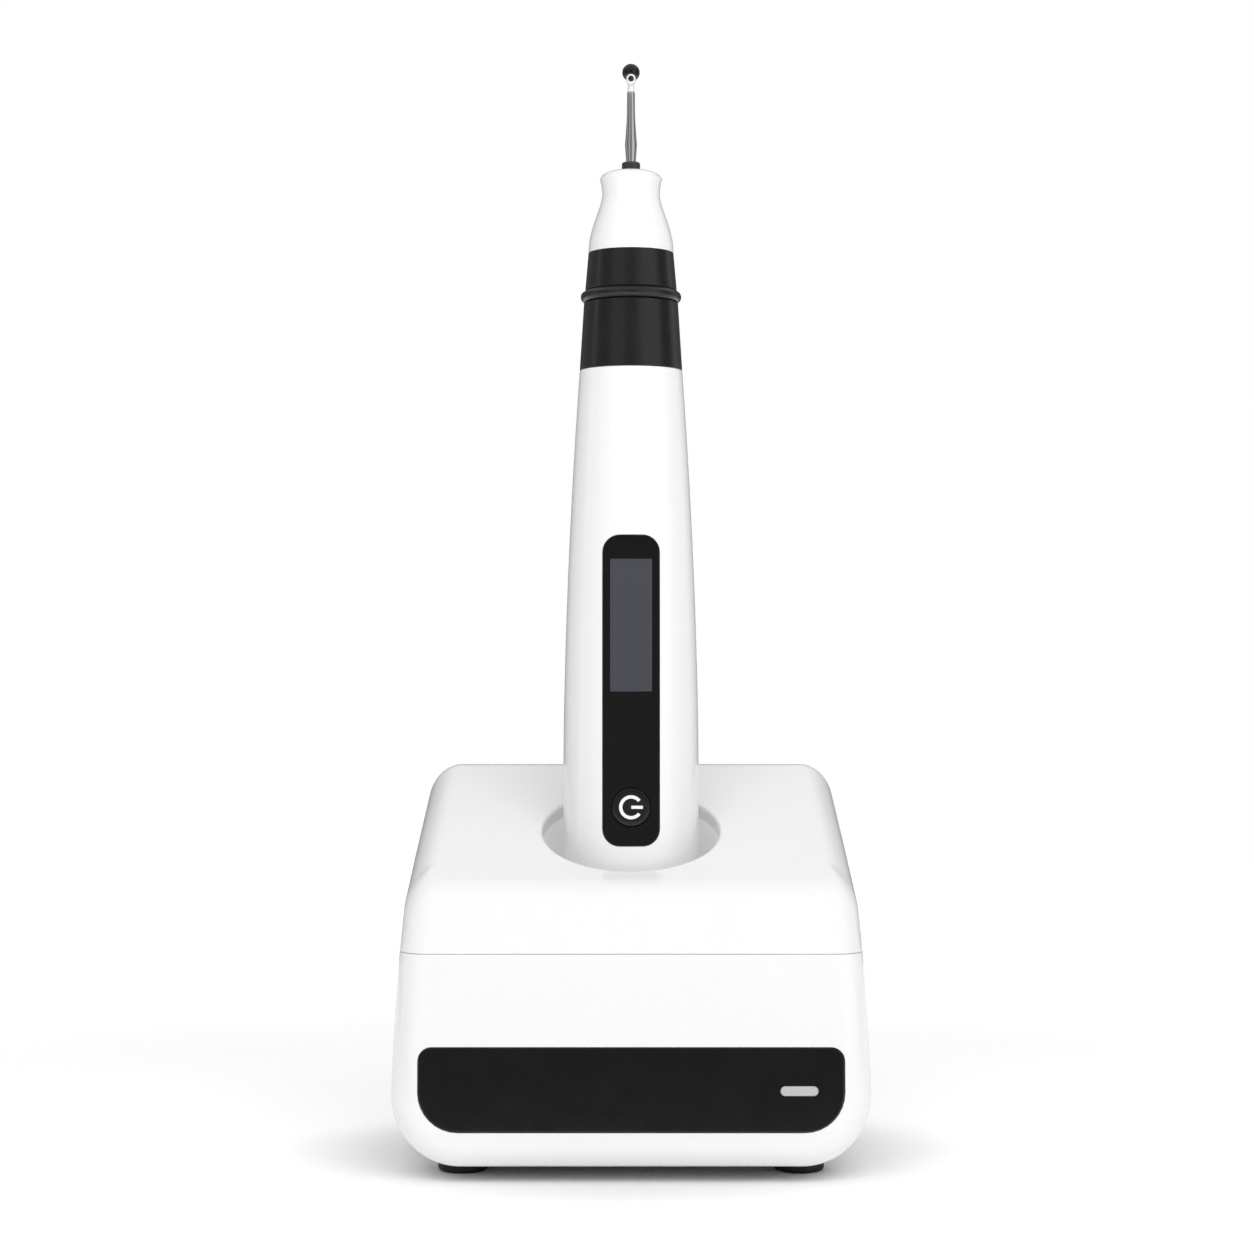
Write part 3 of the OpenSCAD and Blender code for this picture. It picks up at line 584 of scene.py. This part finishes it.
def strip_outline(grow):
    def outline(inset):
        g = grow - inset
        w, low, high = STRIP_HIGH[0] + g, up_front(STRIP_LOW[2]) - g, up_front(STRIP_HIGH[2]) + g
        return rounded([(-w, low, 7.5 + g), (w, low, 7.5 + g), (w, high, 2.5 + g), (-w, high, 2.5 + g)], 8)
    return outline


def light_outline(grow):
    radius = LIGHT_H / 2 + grow
    return rectangle(LIGHT_W / 2 + grow, radius, radius - 0.005, (LIGHT_X, up_front(LIGHT_Z)), 8)


def disc(radius, centre=(0, 0), count=64):
    return lambda inset: [(centre[0] + (radius - inset) * math.cos(2 * math.pi * i / count),
                           centre[1] + (radius - inset) * math.sin(2 * math.pi * i / count))
                          for i in range(count)]


def make_dock():
    azimuth = azimuths(300)
    piece(make_cover(azimuth), "white_plastic", "dock", "upper_cover")

    shell = make_shell(azimuth)
    plate_y = sum(c[1] for c in box_mm("base_plate")) / 2
    on_back = on_plane((0, BACK_Y, INLET_Z), 0)
    cut(shell,
        plate("cutter", strip_outline(0.12), on_front, -STRIP_T - 0.2, 6),
        plate("cutter", light_outline(0.12), on_front, -8, 6),
        plate("cutter", rectangle(*PLATE_SEAT, (0, plate_y)), from_above, 0, UNDERSIDE_Z + PLATE_T),
        plate("cutter", rectangle(*PLATE_OPENING, (0, plate_y)), from_above, 0, UNDERSIDE_Z + 5),
        plate("cutter", disc(INLET_R), on_back, -6, 6))
    for x, y in FEET:
        cut(shell, plate("cutter", disc(FOOT_R + 0.1, (x, y)), from_above, 0, UNDERSIDE_Z + FOOT_POCKET))
    piece(shell, "white_plastic", "dock", "lower_shell")

    strip = plate("strip_plate", strip_outline(0), on_front, -STRIP_T, 0, 0.25)
    cut(strip, plate("cutter", light_outline(0.05), on_front, -4, 4))
    piece(strip, "panel_black", "dock", "front_strip")

    window = plate("light_window", light_outline(0), on_front, -3.6, 0.0, 0.2)
    piece(window, "light_diffuser", "dock", "light_pipe")

    foot_h = UNDERSIDE_Z + FOOT_POCKET
    pads = [lathe("foot_pad", rounded([(0, 0), (FOOT_R - 0.15, 0, 0.8), (FOOT_R, foot_h * 0.5, 1),
                                       (FOOT_R, foot_h), (0, foot_h)]), 64,
                  lambda px, py, pz, x=x, y=y: (x + px, y + py, pz)) for x, y in FEET]
    for pad, spot in zip(pads, ("left_front", "left_back", "right_front", "right_back")):
        pad.name = "foot_" + spot
        piece(pad, "foot_rubber", "dock", "rubber_feet")


PIN_X = 4.5
PIN_HOLE_R = 1.1


def make_cup():
    seat_r, wall, floor_z, floor_t = 13.85, 1.8, 25.8, 2.6
    bottom_z = floor_z - floor_t
    cup = lathe("cup_skin", rounded([
        (0, bottom_z), (seat_r + wall, bottom_z, 1), (seat_r + wall, 35, 4), (MOUTH_R + wall, 42, 4),
        (MOUTH_R + wall, 80), (MOUTH_R, 80), (MOUTH_R, 44, 6), (seat_r, 37, 6), (seat_r, floor_z, 0.8),
        (0, floor_z)]))
    drop = WALL / math.cos(TOP_SLOPE) + 0.1
    slope = math.tan(TOP_SLOPE)
    wedge = plate("cutter", rectangle(40, 40, 0.1),
                  lambda x, y, z: (x, y, z + TOP_Z - drop + y * slope), 0, 60)
    cut(cup, wedge)
    for x in (-PIN_X, PIN_X):
        cut(cup, plate("cutter", disc(PIN_HOLE_R, (x, 0), 32), from_above, bottom_z - 3, floor_z + 4))
    piece(cup, "cup_plastic", "dock", "well_cup")


# ---------- handpiece ----------

BARREL_R = 13.5
SHOULDER_R = 10.25
CAP_TOP_Z = 40.0
STRAIGHT_TOP_Z = 76.0
SHOULDER_Z = 156.4
RING_BOTTOM_Z = 170.0
RING_TOP_Z = 172.4
RING_R = 10.05
BAND_TOP_Z = 179.9
BAND_TOP_R = 8.5
NECK_Z = 191.6
NECK_R = 5.75
LIP_Z = 194.7
LIP_R = 6.2
NOSE_TOP_Z = 196.6
CORE_R = 7.25
PANEL_W = 11.2
PANEL_H = 60.9
PANEL_ROUND = 3.4
PANEL_Z = 62.2
PANEL_LEAN = 1.33
PANEL_T = 1.0
PANEL_Y = -math.sqrt(BARREL_R ** 2 - (PANEL_W / 2) ** 2)
BUTTON_Y = 7.6
BUTTON_R = 3.7
SCREEN_Y = 43.25
SCREEN_W = 8.2
SCREEN_H = 26.0
on_panel = on_plane((0, PANEL_Y, PANEL_Z), PANEL_LEAN)


BARREL_CURVE = 1.75
NOSE_CURVE = 0.8


def barrel_radius(z):
    rise = max(z - STRAIGHT_TOP_Z, 0) / (SHOULDER_Z - STRAIGHT_TOP_Z)
    return BARREL_R - (BARREL_R - SHOULDER_R) * rise ** BARREL_CURVE


def nose_radius(z):
    rise = ((NECK_Z - z) / (NECK_Z - BAND_TOP_Z)) ** NOSE_CURVE
    return NECK_R + (BAND_TOP_R - NECK_R) * (1 - math.cos(math.pi * rise)) / 2


def steps_between(a, b, count):
    return [a + (b - a) * i / count for i in range(count + 1)]


def make_barrel():
    wall, soft = 1.6, 0.12
    outside = (steps_between(CAP_TOP_Z + soft, STRAIGHT_TOP_Z, 12)
               + steps_between(STRAIGHT_TOP_Z, SHOULDER_Z - soft, 46)[1:])
    inside = steps_between(SHOULDER_Z - 2, CAP_TOP_Z, 40)
    shell = lathe("barrel_skin",
                  [(barrel_radius(CAP_TOP_Z) - soft, CAP_TOP_Z)]
                  + [(barrel_radius(z), z) for z in outside]
                  + [(SHOULDER_R - soft, SHOULDER_Z), (CORE_R + 0.05, SHOULDER_Z),
                     (CORE_R + 0.05, SHOULDER_Z - 2)]
                  + [(barrel_radius(z) - wall, z) for z in inside])
    # the frame behind the panel: the part of a solid core that lies behind the panel's seat
    core = lathe("frame_core", [(0, CAP_TOP_Z + 1)] + [(barrel_radius(z) - 0.3, z) for z in outside[1:]]
                 + [(0, outside[-1])])
    pad = plate("cutter", rectangle(PANEL_W / 2 + 1.8, PANEL_H / 2 + 2, 4, (0, PANEL_H / 2)), on_panel,
                -1.8, 3)
    boolean(core, pad, "INTERSECT")
    boolean(shell, core, "UNION")
    cut(shell,
        plate("cutter", rectangle(PANEL_W / 2 + 0.06, PANEL_H / 2 + 0.06, PANEL_ROUND, (0, PANEL_H / 2), 10),
              on_panel, -PANEL_T - 0.02, 8),
        plate("cutter", rectangle(SCREEN_W / 2 + 0.05, SCREEN_H / 2 + 0.05, 0.1, (0, SCREEN_Y)), on_panel,
              -6, 1),
        plate("cutter", disc(BUTTON_R + 0.3, (0, BUTTON_Y)), on_panel, -6, 1))
    piece(shell, "white_plastic", "handpiece", "body_shell")


def make_panel():
    lens = plate("lens_skin", rectangle(PANEL_W / 2, PANEL_H / 2, PANEL_ROUND, (0, PANEL_H / 2), 10),
                 on_panel, -PANEL_T, 0, 0.18)
    cut(lens, plate("cutter", disc(BUTTON_R + 0.24, (0, BUTTON_Y), 96), on_panel, -6, 6))
    piece(lens, "panel_black", "handpiece", "panel_lens")
    screen = plate("screen_window", rectangle(SCREEN_W / 2, SCREEN_H / 2, 0.25, (0, SCREEN_Y)),
                   on_panel, -0.1, 0.02, 0.015, 1)
    piece(screen, "screen_glass", "handpiece")


def make_button():
    base, face, edge = -1.9, 0.15, 0.22
    rim = [(BUTTON_R - edge + edge * math.sin(a), face - edge + edge * math.cos(a))
           for a in steps_between(math.pi / 2, 0, 5)]
    dish = [(r, face - 0.05 * (1 - (r / (BUTTON_R - edge)) ** 2)) for r in (2.6, 1.6, 0.8, 0.3)]
    stem = [(0, base - 0.55), (0.8, base - 0.55), (0.8, base - 0.4), (BUTTON_R + 0.55, base - 0.4),
            (BUTTON_R + 0.55, base), (BUTTON_R, base)]
    key = lathe("power_key", stem + rim + dish + [(0, face - 0.05)], 96,
                lambda x, y, z: on_panel(x, y + BUTTON_Y, z))
    piece(key, "button_black", "button", "power_button")

    ring_r, stroke, gap = 2.35, 0.64, math.radians(38)
    arc = steps_between(gap, 2 * math.pi - gap, 40)
    ring = ([(ring_r * math.cos(a), ring_r * math.sin(a)) for a in arc]
            + [((ring_r - stroke) * math.cos(a), (ring_r - stroke) * math.sin(a)) for a in reversed(arc)])
    bar = rounded([(0.05, -0.3, 0.05), (2.3, -0.3, 0.05), (2.3, 0.3, 0.05), (0.05, 0.3, 0.05)], 2)
    for name, shape in (("power_mark_ring", ring), ("power_mark_bar", bar)):
        mark = plate(name, lambda inset, shape=shape: [(x, y + BUTTON_Y) for x, y in shape], on_panel,
                     face - 0.12, face + 0.01)
        piece(mark, "mark_white", "button")


def make_bands():
    gap = 0.05
    low = lathe("band_low_skin", rounded([
        (CORE_R, SHOULDER_Z + gap), (SHOULDER_R, SHOULDER_Z + gap, 0.12), (9.4, RING_BOTTOM_Z - gap, 0.2),
        (CORE_R, RING_BOTTOM_Z - gap)]))
    piece(low, "band_plastic", "handpiece", "lower_band")
    height = RING_TOP_Z - RING_BOTTOM_Z
    bead = [(RING_R - 0.85 + 0.85 * math.cos(a), RING_BOTTOM_Z + height * (0.46 + 0.42 * math.sin(a)))
            for a in steps_between(-math.pi / 2.6, math.pi / 2.6, 16)]
    ring = lathe("ring_skin", [(CORE_R + 0.5, RING_BOTTOM_Z + 0.04), (9.3, RING_BOTTOM_Z + 0.04)] + bead
                 + [(9.1, RING_TOP_Z - 0.04), (CORE_R + 0.5, RING_TOP_Z - 0.04)])
    piece(ring, "band_plastic", "ring", "activation_ring")
    high = lathe("band_high_skin", rounded([
        (CORE_R, RING_TOP_Z + gap), (9.15, RING_TOP_Z + gap, 0.2), (BAND_TOP_R, BAND_TOP_Z - gap, 0.12),
        (CORE_R, BAND_TOP_Z - gap)]))
    piece(high, "band_plastic", "handpiece", "upper_band")


def make_nose():
    skin = [(nose_radius(z), z) for z in steps_between(BAND_TOP_Z + 0.02, NECK_Z, 30)]
    flare = [(NECK_R + (LIP_R - NECK_R) * t * t, NECK_Z + (LIP_Z - NECK_Z) * t)
             for t in steps_between(0, 1, 8)[1:]]
    edge = 0.3
    round_edge = [(LIP_R - edge + edge * math.cos(a), LIP_Z + edge * math.sin(a))
                  for a in steps_between(0, math.pi / 2.6, 5)[1:]]
    dome_z = LIP_Z + edge
    dome = [((LIP_R - edge) * math.cos(a), dome_z + (NOSE_TOP_Z - dome_z) * math.sin(a))
            for a in steps_between(math.radians(8), math.radians(74), 14)]
    nose = lathe("nose_skin", skin + flare + round_edge + dome + [
        (1.6, NOSE_TOP_Z - 0.02), (1.6, 195.2), (2.52, 195.2), (2.52, 191.9), (4.1, 191.9), (4.1, 187.2),
        (5.65, 187.2), (5.65, BAND_TOP_Z + 0.02)])
    piece(nose, "white_plastic", "handpiece", "nose_cone")


def make_cap():
    low = box_mm("rear_cap")[0][2]
    floor_z = low + 2.4
    cap = lathe("cap_skin", rounded([
        (0, low), (BARREL_R - 1.2, low, 1.4), (BARREL_R, low + 2.2, 1.6), (BARREL_R, CAP_TOP_Z - 0.05, 0.12),
        (11.8, CAP_TOP_Z - 0.05), (11.8, 41.5), (10.9, 41.5), (10.9, 42.5), (11.8, 42.5), (11.8, 44, 0.3),
        (10.2, 44), (10.2, 38), (BARREL_R - 1.6, 36), (BARREL_R - 1.6, floor_z + 1.5),
        (BARREL_R - 3.2, floor_z), (0, floor_z)]))
    for x in (-PIN_X, PIN_X):
        cut(cap, plate("cutter", disc(2.02, (x, 0)), from_above, low - 1, floor_z + 1))
    for y in (-8, 8):
        cut(cap, plate("cutter", disc(1.1, (0, y), 32), from_above, low - 1, floor_z + 1))
        cut(cap, plate("cutter", disc(2.0, (0, y), 48), from_above, low - 1, low + 1.4))
    piece(cap, "white_plastic", "handpiece", "rear_cap")


# ---------- tip ----------

SHAFT_TOP_Z = 212.2
ELBOW_Z = 214.6
BEAD_Z = 216.2
BEAD_Y = 0.55
BEAD_R = 1.75
ELBOW_R = 0.93
NECK_TIP_R = 0.65


def towards_front(x, y, z):
    """Turns a lathe's axis from +Z to -Y at the elbow."""
    return (x, -z, ELBOW_Z + y)


def elbow_solid(name, grow=0.0):
    radius, lip = ELBOW_R + grow, 0.12
    back = [(radius * math.sin(a), -radius * math.cos(a)) for a in steps_between(0, math.pi / 2, 12)]
    bore = [(0, 1.5)] if grow else [(0.62, 1.5), (0.55, 1.44), (0.52, 1.35), (0.52, 0.4), (0, 0.4)]
    rim = [(radius, 1.5 - lip), (radius - 0.04, 1.5 - 0.3 * lip), (radius - lip, 1.5)]
    head = lathe(name, back + rim + bore, 64, towards_front)
    neck_r = NECK_TIP_R + grow
    neck = lathe("neck", [(0, SHAFT_TOP_Z), (neck_r + 0.1, SHAFT_TOP_Z), (neck_r, SHAFT_TOP_Z + 0.4),
                          (neck_r, ELBOW_Z - 1.1), (neck_r + 0.06, ELBOW_Z - 0.8), (neck_r, ELBOW_Z - 0.2),
                          (0, ELBOW_Z - 0.2)], 48)
    return boolean(head, neck, "UNION")


def make_tip():
    shaft = lathe("shaft_skin", [
        (0.42, 185.2), (0.9, 185.2), (0.95, 185.3), (0.95, 198), (1.08, 199.8), (1.185, 201.3), (1.2, 201.6),
        (1.185, 201.9), (1.05, 203.7), (0.93, 205.4), (0.85, 206.6), (0.815, 208), (0.79, 210), (0.78, 212),
        (0.7, SHAFT_TOP_Z), (0.42, SHAFT_TOP_Z)], 64)
    piece(shaft, "tip_steel", "tip", "tip_shaft", "tip_plug")
    elbow = elbow_solid("elbow_skin")
    piece(elbow, "elbow_chrome", "tip", "tip_elbow")
    nib = lathe("nib_skin", [(0, 0.4), (0.5, 0.4), (0.5, 1.4), (0.46, 1.6), (0.36, 1.73), (0.2, 1.79),
                             (0, 1.8)], 48, towards_front)
    piece(nib, "nib_dark", "tip", "plugger_nib")
    half_circle = [(BEAD_R * math.sin(a), -BEAD_R * math.cos(a)) for a in steps_between(0, math.pi, 40)]
    bead = lathe("bead_skin", half_circle, 96, lambda x, y, z: (x, y + BEAD_Y, z + BEAD_Z))
    cut(bead, elbow_solid("cutter", 0.01))
    piece(bead, "bead_black", "tip", "color_bead")
    bottom, top, radius = NOSE_TOP_Z + 0.12, 198.1, 1.83
    collar = lathe("collar_skin", rounded([
        (1.48, bottom), (radius, bottom, 0.08), (radius, top, 0.4), (1, top, 0.1), (1, 197.42),
        (1.48, 197.42)]), 96)
    piece(collar, "collar_dark", "collar", "tip_collar")


make_dock()
make_cup()
make_barrel()
make_panel()
make_button()
make_bands()
make_nose()
make_cap()
make_tip()

def repaint_nodes():
    """Gives each CAD node that is still shown the finish of its own material slot."""
    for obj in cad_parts.values():
        for slot in obj.material_slots:
            name = slot.material.name.split(".")[0] if slot.material else ""
            if name in MATERIALS:
                slot.material = MATERIALS[name]


repaint_nodes()

# ---------- floor, light and camera ----------

# The floor's painted light: an emission that is nil near the dock and grows away from it, so the floor round
# the dock's footprint is left as painted shade. For each step: where it starts and is full, in metres from
# the axis, and its strength.
FLOOR_PAINTED_LIGHT = [(0.031, 0.06, 0.26), (0.15, 0.4, 0.3)]


def make_floor():
    radius, count = 800, 96
    floor = new_object("floor", [(x, y, 0) for x, y in disc(radius, count=count)(0)], [list(range(count))])
    nodes = Nodes("floor_white")
    nodes.tint(nodes.noise(60, 2), (0.93, 0.93, 0.93), (0.94, 0.94, 0.94))
    nodes.spread(nodes.noise(40, 2), 0.75, 0.85, nodes.shader.inputs["Roughness"])
    nodes.bump(nodes.noise(3, 2), 0.01)
    nodes.shader.inputs["Specular IOR Level"].default_value = 0.1
    nodes.shader.inputs["Emission Color"].default_value = (1, 1, 1, 1)
    # painted light: the floor glows like a lit backdrop, more the further out it is along an oval of the
    # dock's footprint, leaving a painted shade round the dock
    oval = nodes.add("ShaderNodeVectorMath", operation="MULTIPLY")
    oval.inputs[1].default_value = (abs(FRONT_Y) / HALF_W, 1, 0)
    nodes.link(nodes.coords, oval.inputs[0])
    reach_out = nodes.add("ShaderNodeVectorMath", operation="LENGTH")
    nodes.link(oval.outputs["Vector"], reach_out.inputs[0])
    painted_light = nodes.add("ShaderNodeMath", operation="ADD")
    for socket, (start, full, strength) in zip(painted_light.inputs, FLOOR_PAINTED_LIGHT):
        step = nodes.add("ShaderNodeMapRange", interpolation_type="SMOOTHSTEP")
        for key, value in (("From Min", start), ("From Max", full), ("To Max", strength)):
            step.inputs[key].default_value = value
        nodes.link(reach_out.outputs["Value"], step.inputs["Value"])
        nodes.link(step.outputs["Result"], socket)
    nodes.link(painted_light.outputs["Value"], nodes.shader.inputs["Emission Strength"])
    floor.data.materials.append(nodes.material)


# The studio near the horizon: azimuth in degrees from the camera's side towards +X, and radiance.
STUDIO = [(-180, 0.06), (-120, 0.25), (-101, 0.22), (-97, 0.95), (-91, 0.95), (-87, 0.2), (-55, 0.2),
          (-46, 0.55), (-18, 0.5), (-9, 0.2), (9, 0.2), (18, 0.5), (30, 0.8), (70, 0.85), (78, 0.13),
          (104, 0.13), (112, 0.6), (126, 0.6), (134, 0.2), (180, 0.06)]
SKY = 0.78
SKY_FROM = 0.4
SKY_FULL = 0.72
# Soft boxes: place and size in metres, and radiance.
SOFT_BOXES = [((0.03, -0.42, 0.44), (0.62, 0.3), 2.6)]


class World:
    """Short calls for the world's node tree."""

    def __init__(self, name):
        self.world = bpy.data.worlds.new(name)
        self.world.use_nodes = True
        self.tree = self.world.node_tree
        self.tree.nodes.clear()

    def add(self, kind, **values):
        node = self.tree.nodes.new(kind)
        for key, value in values.items():
            setattr(node, key, value)
        return node

    def math(self, operation, *inputs):
        node = self.add("ShaderNodeMath", operation=operation)
        for socket, value in zip(node.inputs, inputs):
            if isinstance(value, (int, float)):
                socket.default_value = value
            else:
                self.tree.links.new(value, socket)
        return node.outputs[0]

    def background(self, strength):
        node = self.add("ShaderNodeBackground")
        node.inputs["Color"].default_value = (1, 1, 1, 1)
        if isinstance(strength, (int, float)):
            node.inputs["Strength"].default_value = strength
        else:
            self.tree.links.new(strength, node.inputs["Strength"])
        return node.outputs[0]


def make_studio():
    """A white backdrop, and for light and reflections a studio of tall soft boxes under a pale ceiling."""
    world = World("studio")
    bpy.context.scene.world = world.world
    split = world.add("ShaderNodeSeparateXYZ")
    world.tree.links.new(world.add("ShaderNodeTexCoord").outputs["Generated"], split.inputs[0])
    azimuth = world.math("ARCTAN2", split.outputs["X"], world.math("MULTIPLY", split.outputs["Y"], -1.0))
    turn = world.math("MULTIPLY_ADD", azimuth, 1 / (2 * math.pi), 0.5)
    ramp = world.add("ShaderNodeValToRGB")
    ramp.color_ramp.interpolation = "EASE"
    elements = ramp.color_ramp.elements
    for i, (degrees, strength) in enumerate(STUDIO):
        at = (degrees + 180) / 360
        element = elements[i] if i < 2 else elements.new(at)
        element.position = at
        element.color = (strength,) * 3 + (1,)
    world.tree.links.new(turn, ramp.inputs["Fac"])
    rise = world.add("ShaderNodeMapRange", interpolation_type="SMOOTHSTEP")
    rise.inputs["From Min"].default_value = SKY_FROM
    rise.inputs["From Max"].default_value = SKY_FULL
    world.tree.links.new(split.outputs["Z"], rise.inputs["Value"])
    sky = rise.outputs["Result"]
    belt = world.math("MULTIPLY", ramp.outputs["Color"], world.math("SUBTRACT", 1.0, sky))
    lit = world.background(world.math("MULTIPLY_ADD", sky, SKY, belt))
    mix = world.add("ShaderNodeMixShader")
    world.tree.links.new(world.add("ShaderNodeLightPath").outputs["Is Camera Ray"], mix.inputs[0])
    world.tree.links.new(lit, mix.inputs[1])
    world.tree.links.new(world.background(1.0), mix.inputs[2])
    world.tree.links.new(mix.outputs[0], world.add("ShaderNodeOutputWorld").inputs["Surface"])


def make_soft_boxes():
    target = Vector((0, 0, 0.1))
    for place, size, radiance in SOFT_BOXES:
        data = bpy.data.lights.new("soft_box", "AREA")
        data.shape = "RECTANGLE"
        data.size, data.size_y = size
        data.energy = radiance * math.pi * size[0] * size[1]
        light = bpy.data.objects.new("soft_box", data)
        light.location = place
        light.rotation_euler = (target - light.location).to_track_quat("-Z", "Y").to_euler()
        light.visible_camera = False
        light.visible_glossy = False
        bpy.context.scene.collection.objects.link(light)


def make_camera():
    data = bpy.data.cameras.new("camera")
    data.sensor_width = 36
    data.lens = 77.5
    data.shift_y = 0.0263
    data.clip_start = 0.01
    data.clip_end = 50
    camera = bpy.data.objects.new("camera", data)
    camera.location = Vector((-0.8, -540, 98.6)) * MM
    camera.rotation_euler = (math.pi / 2, 0, 0)
    bpy.context.scene.collection.objects.link(camera)
    bpy.context.scene.camera = camera


make_floor()
make_studio()
make_soft_boxes()
make_camera()
bpy.context.scene.view_settings.view_transform = "Standard"
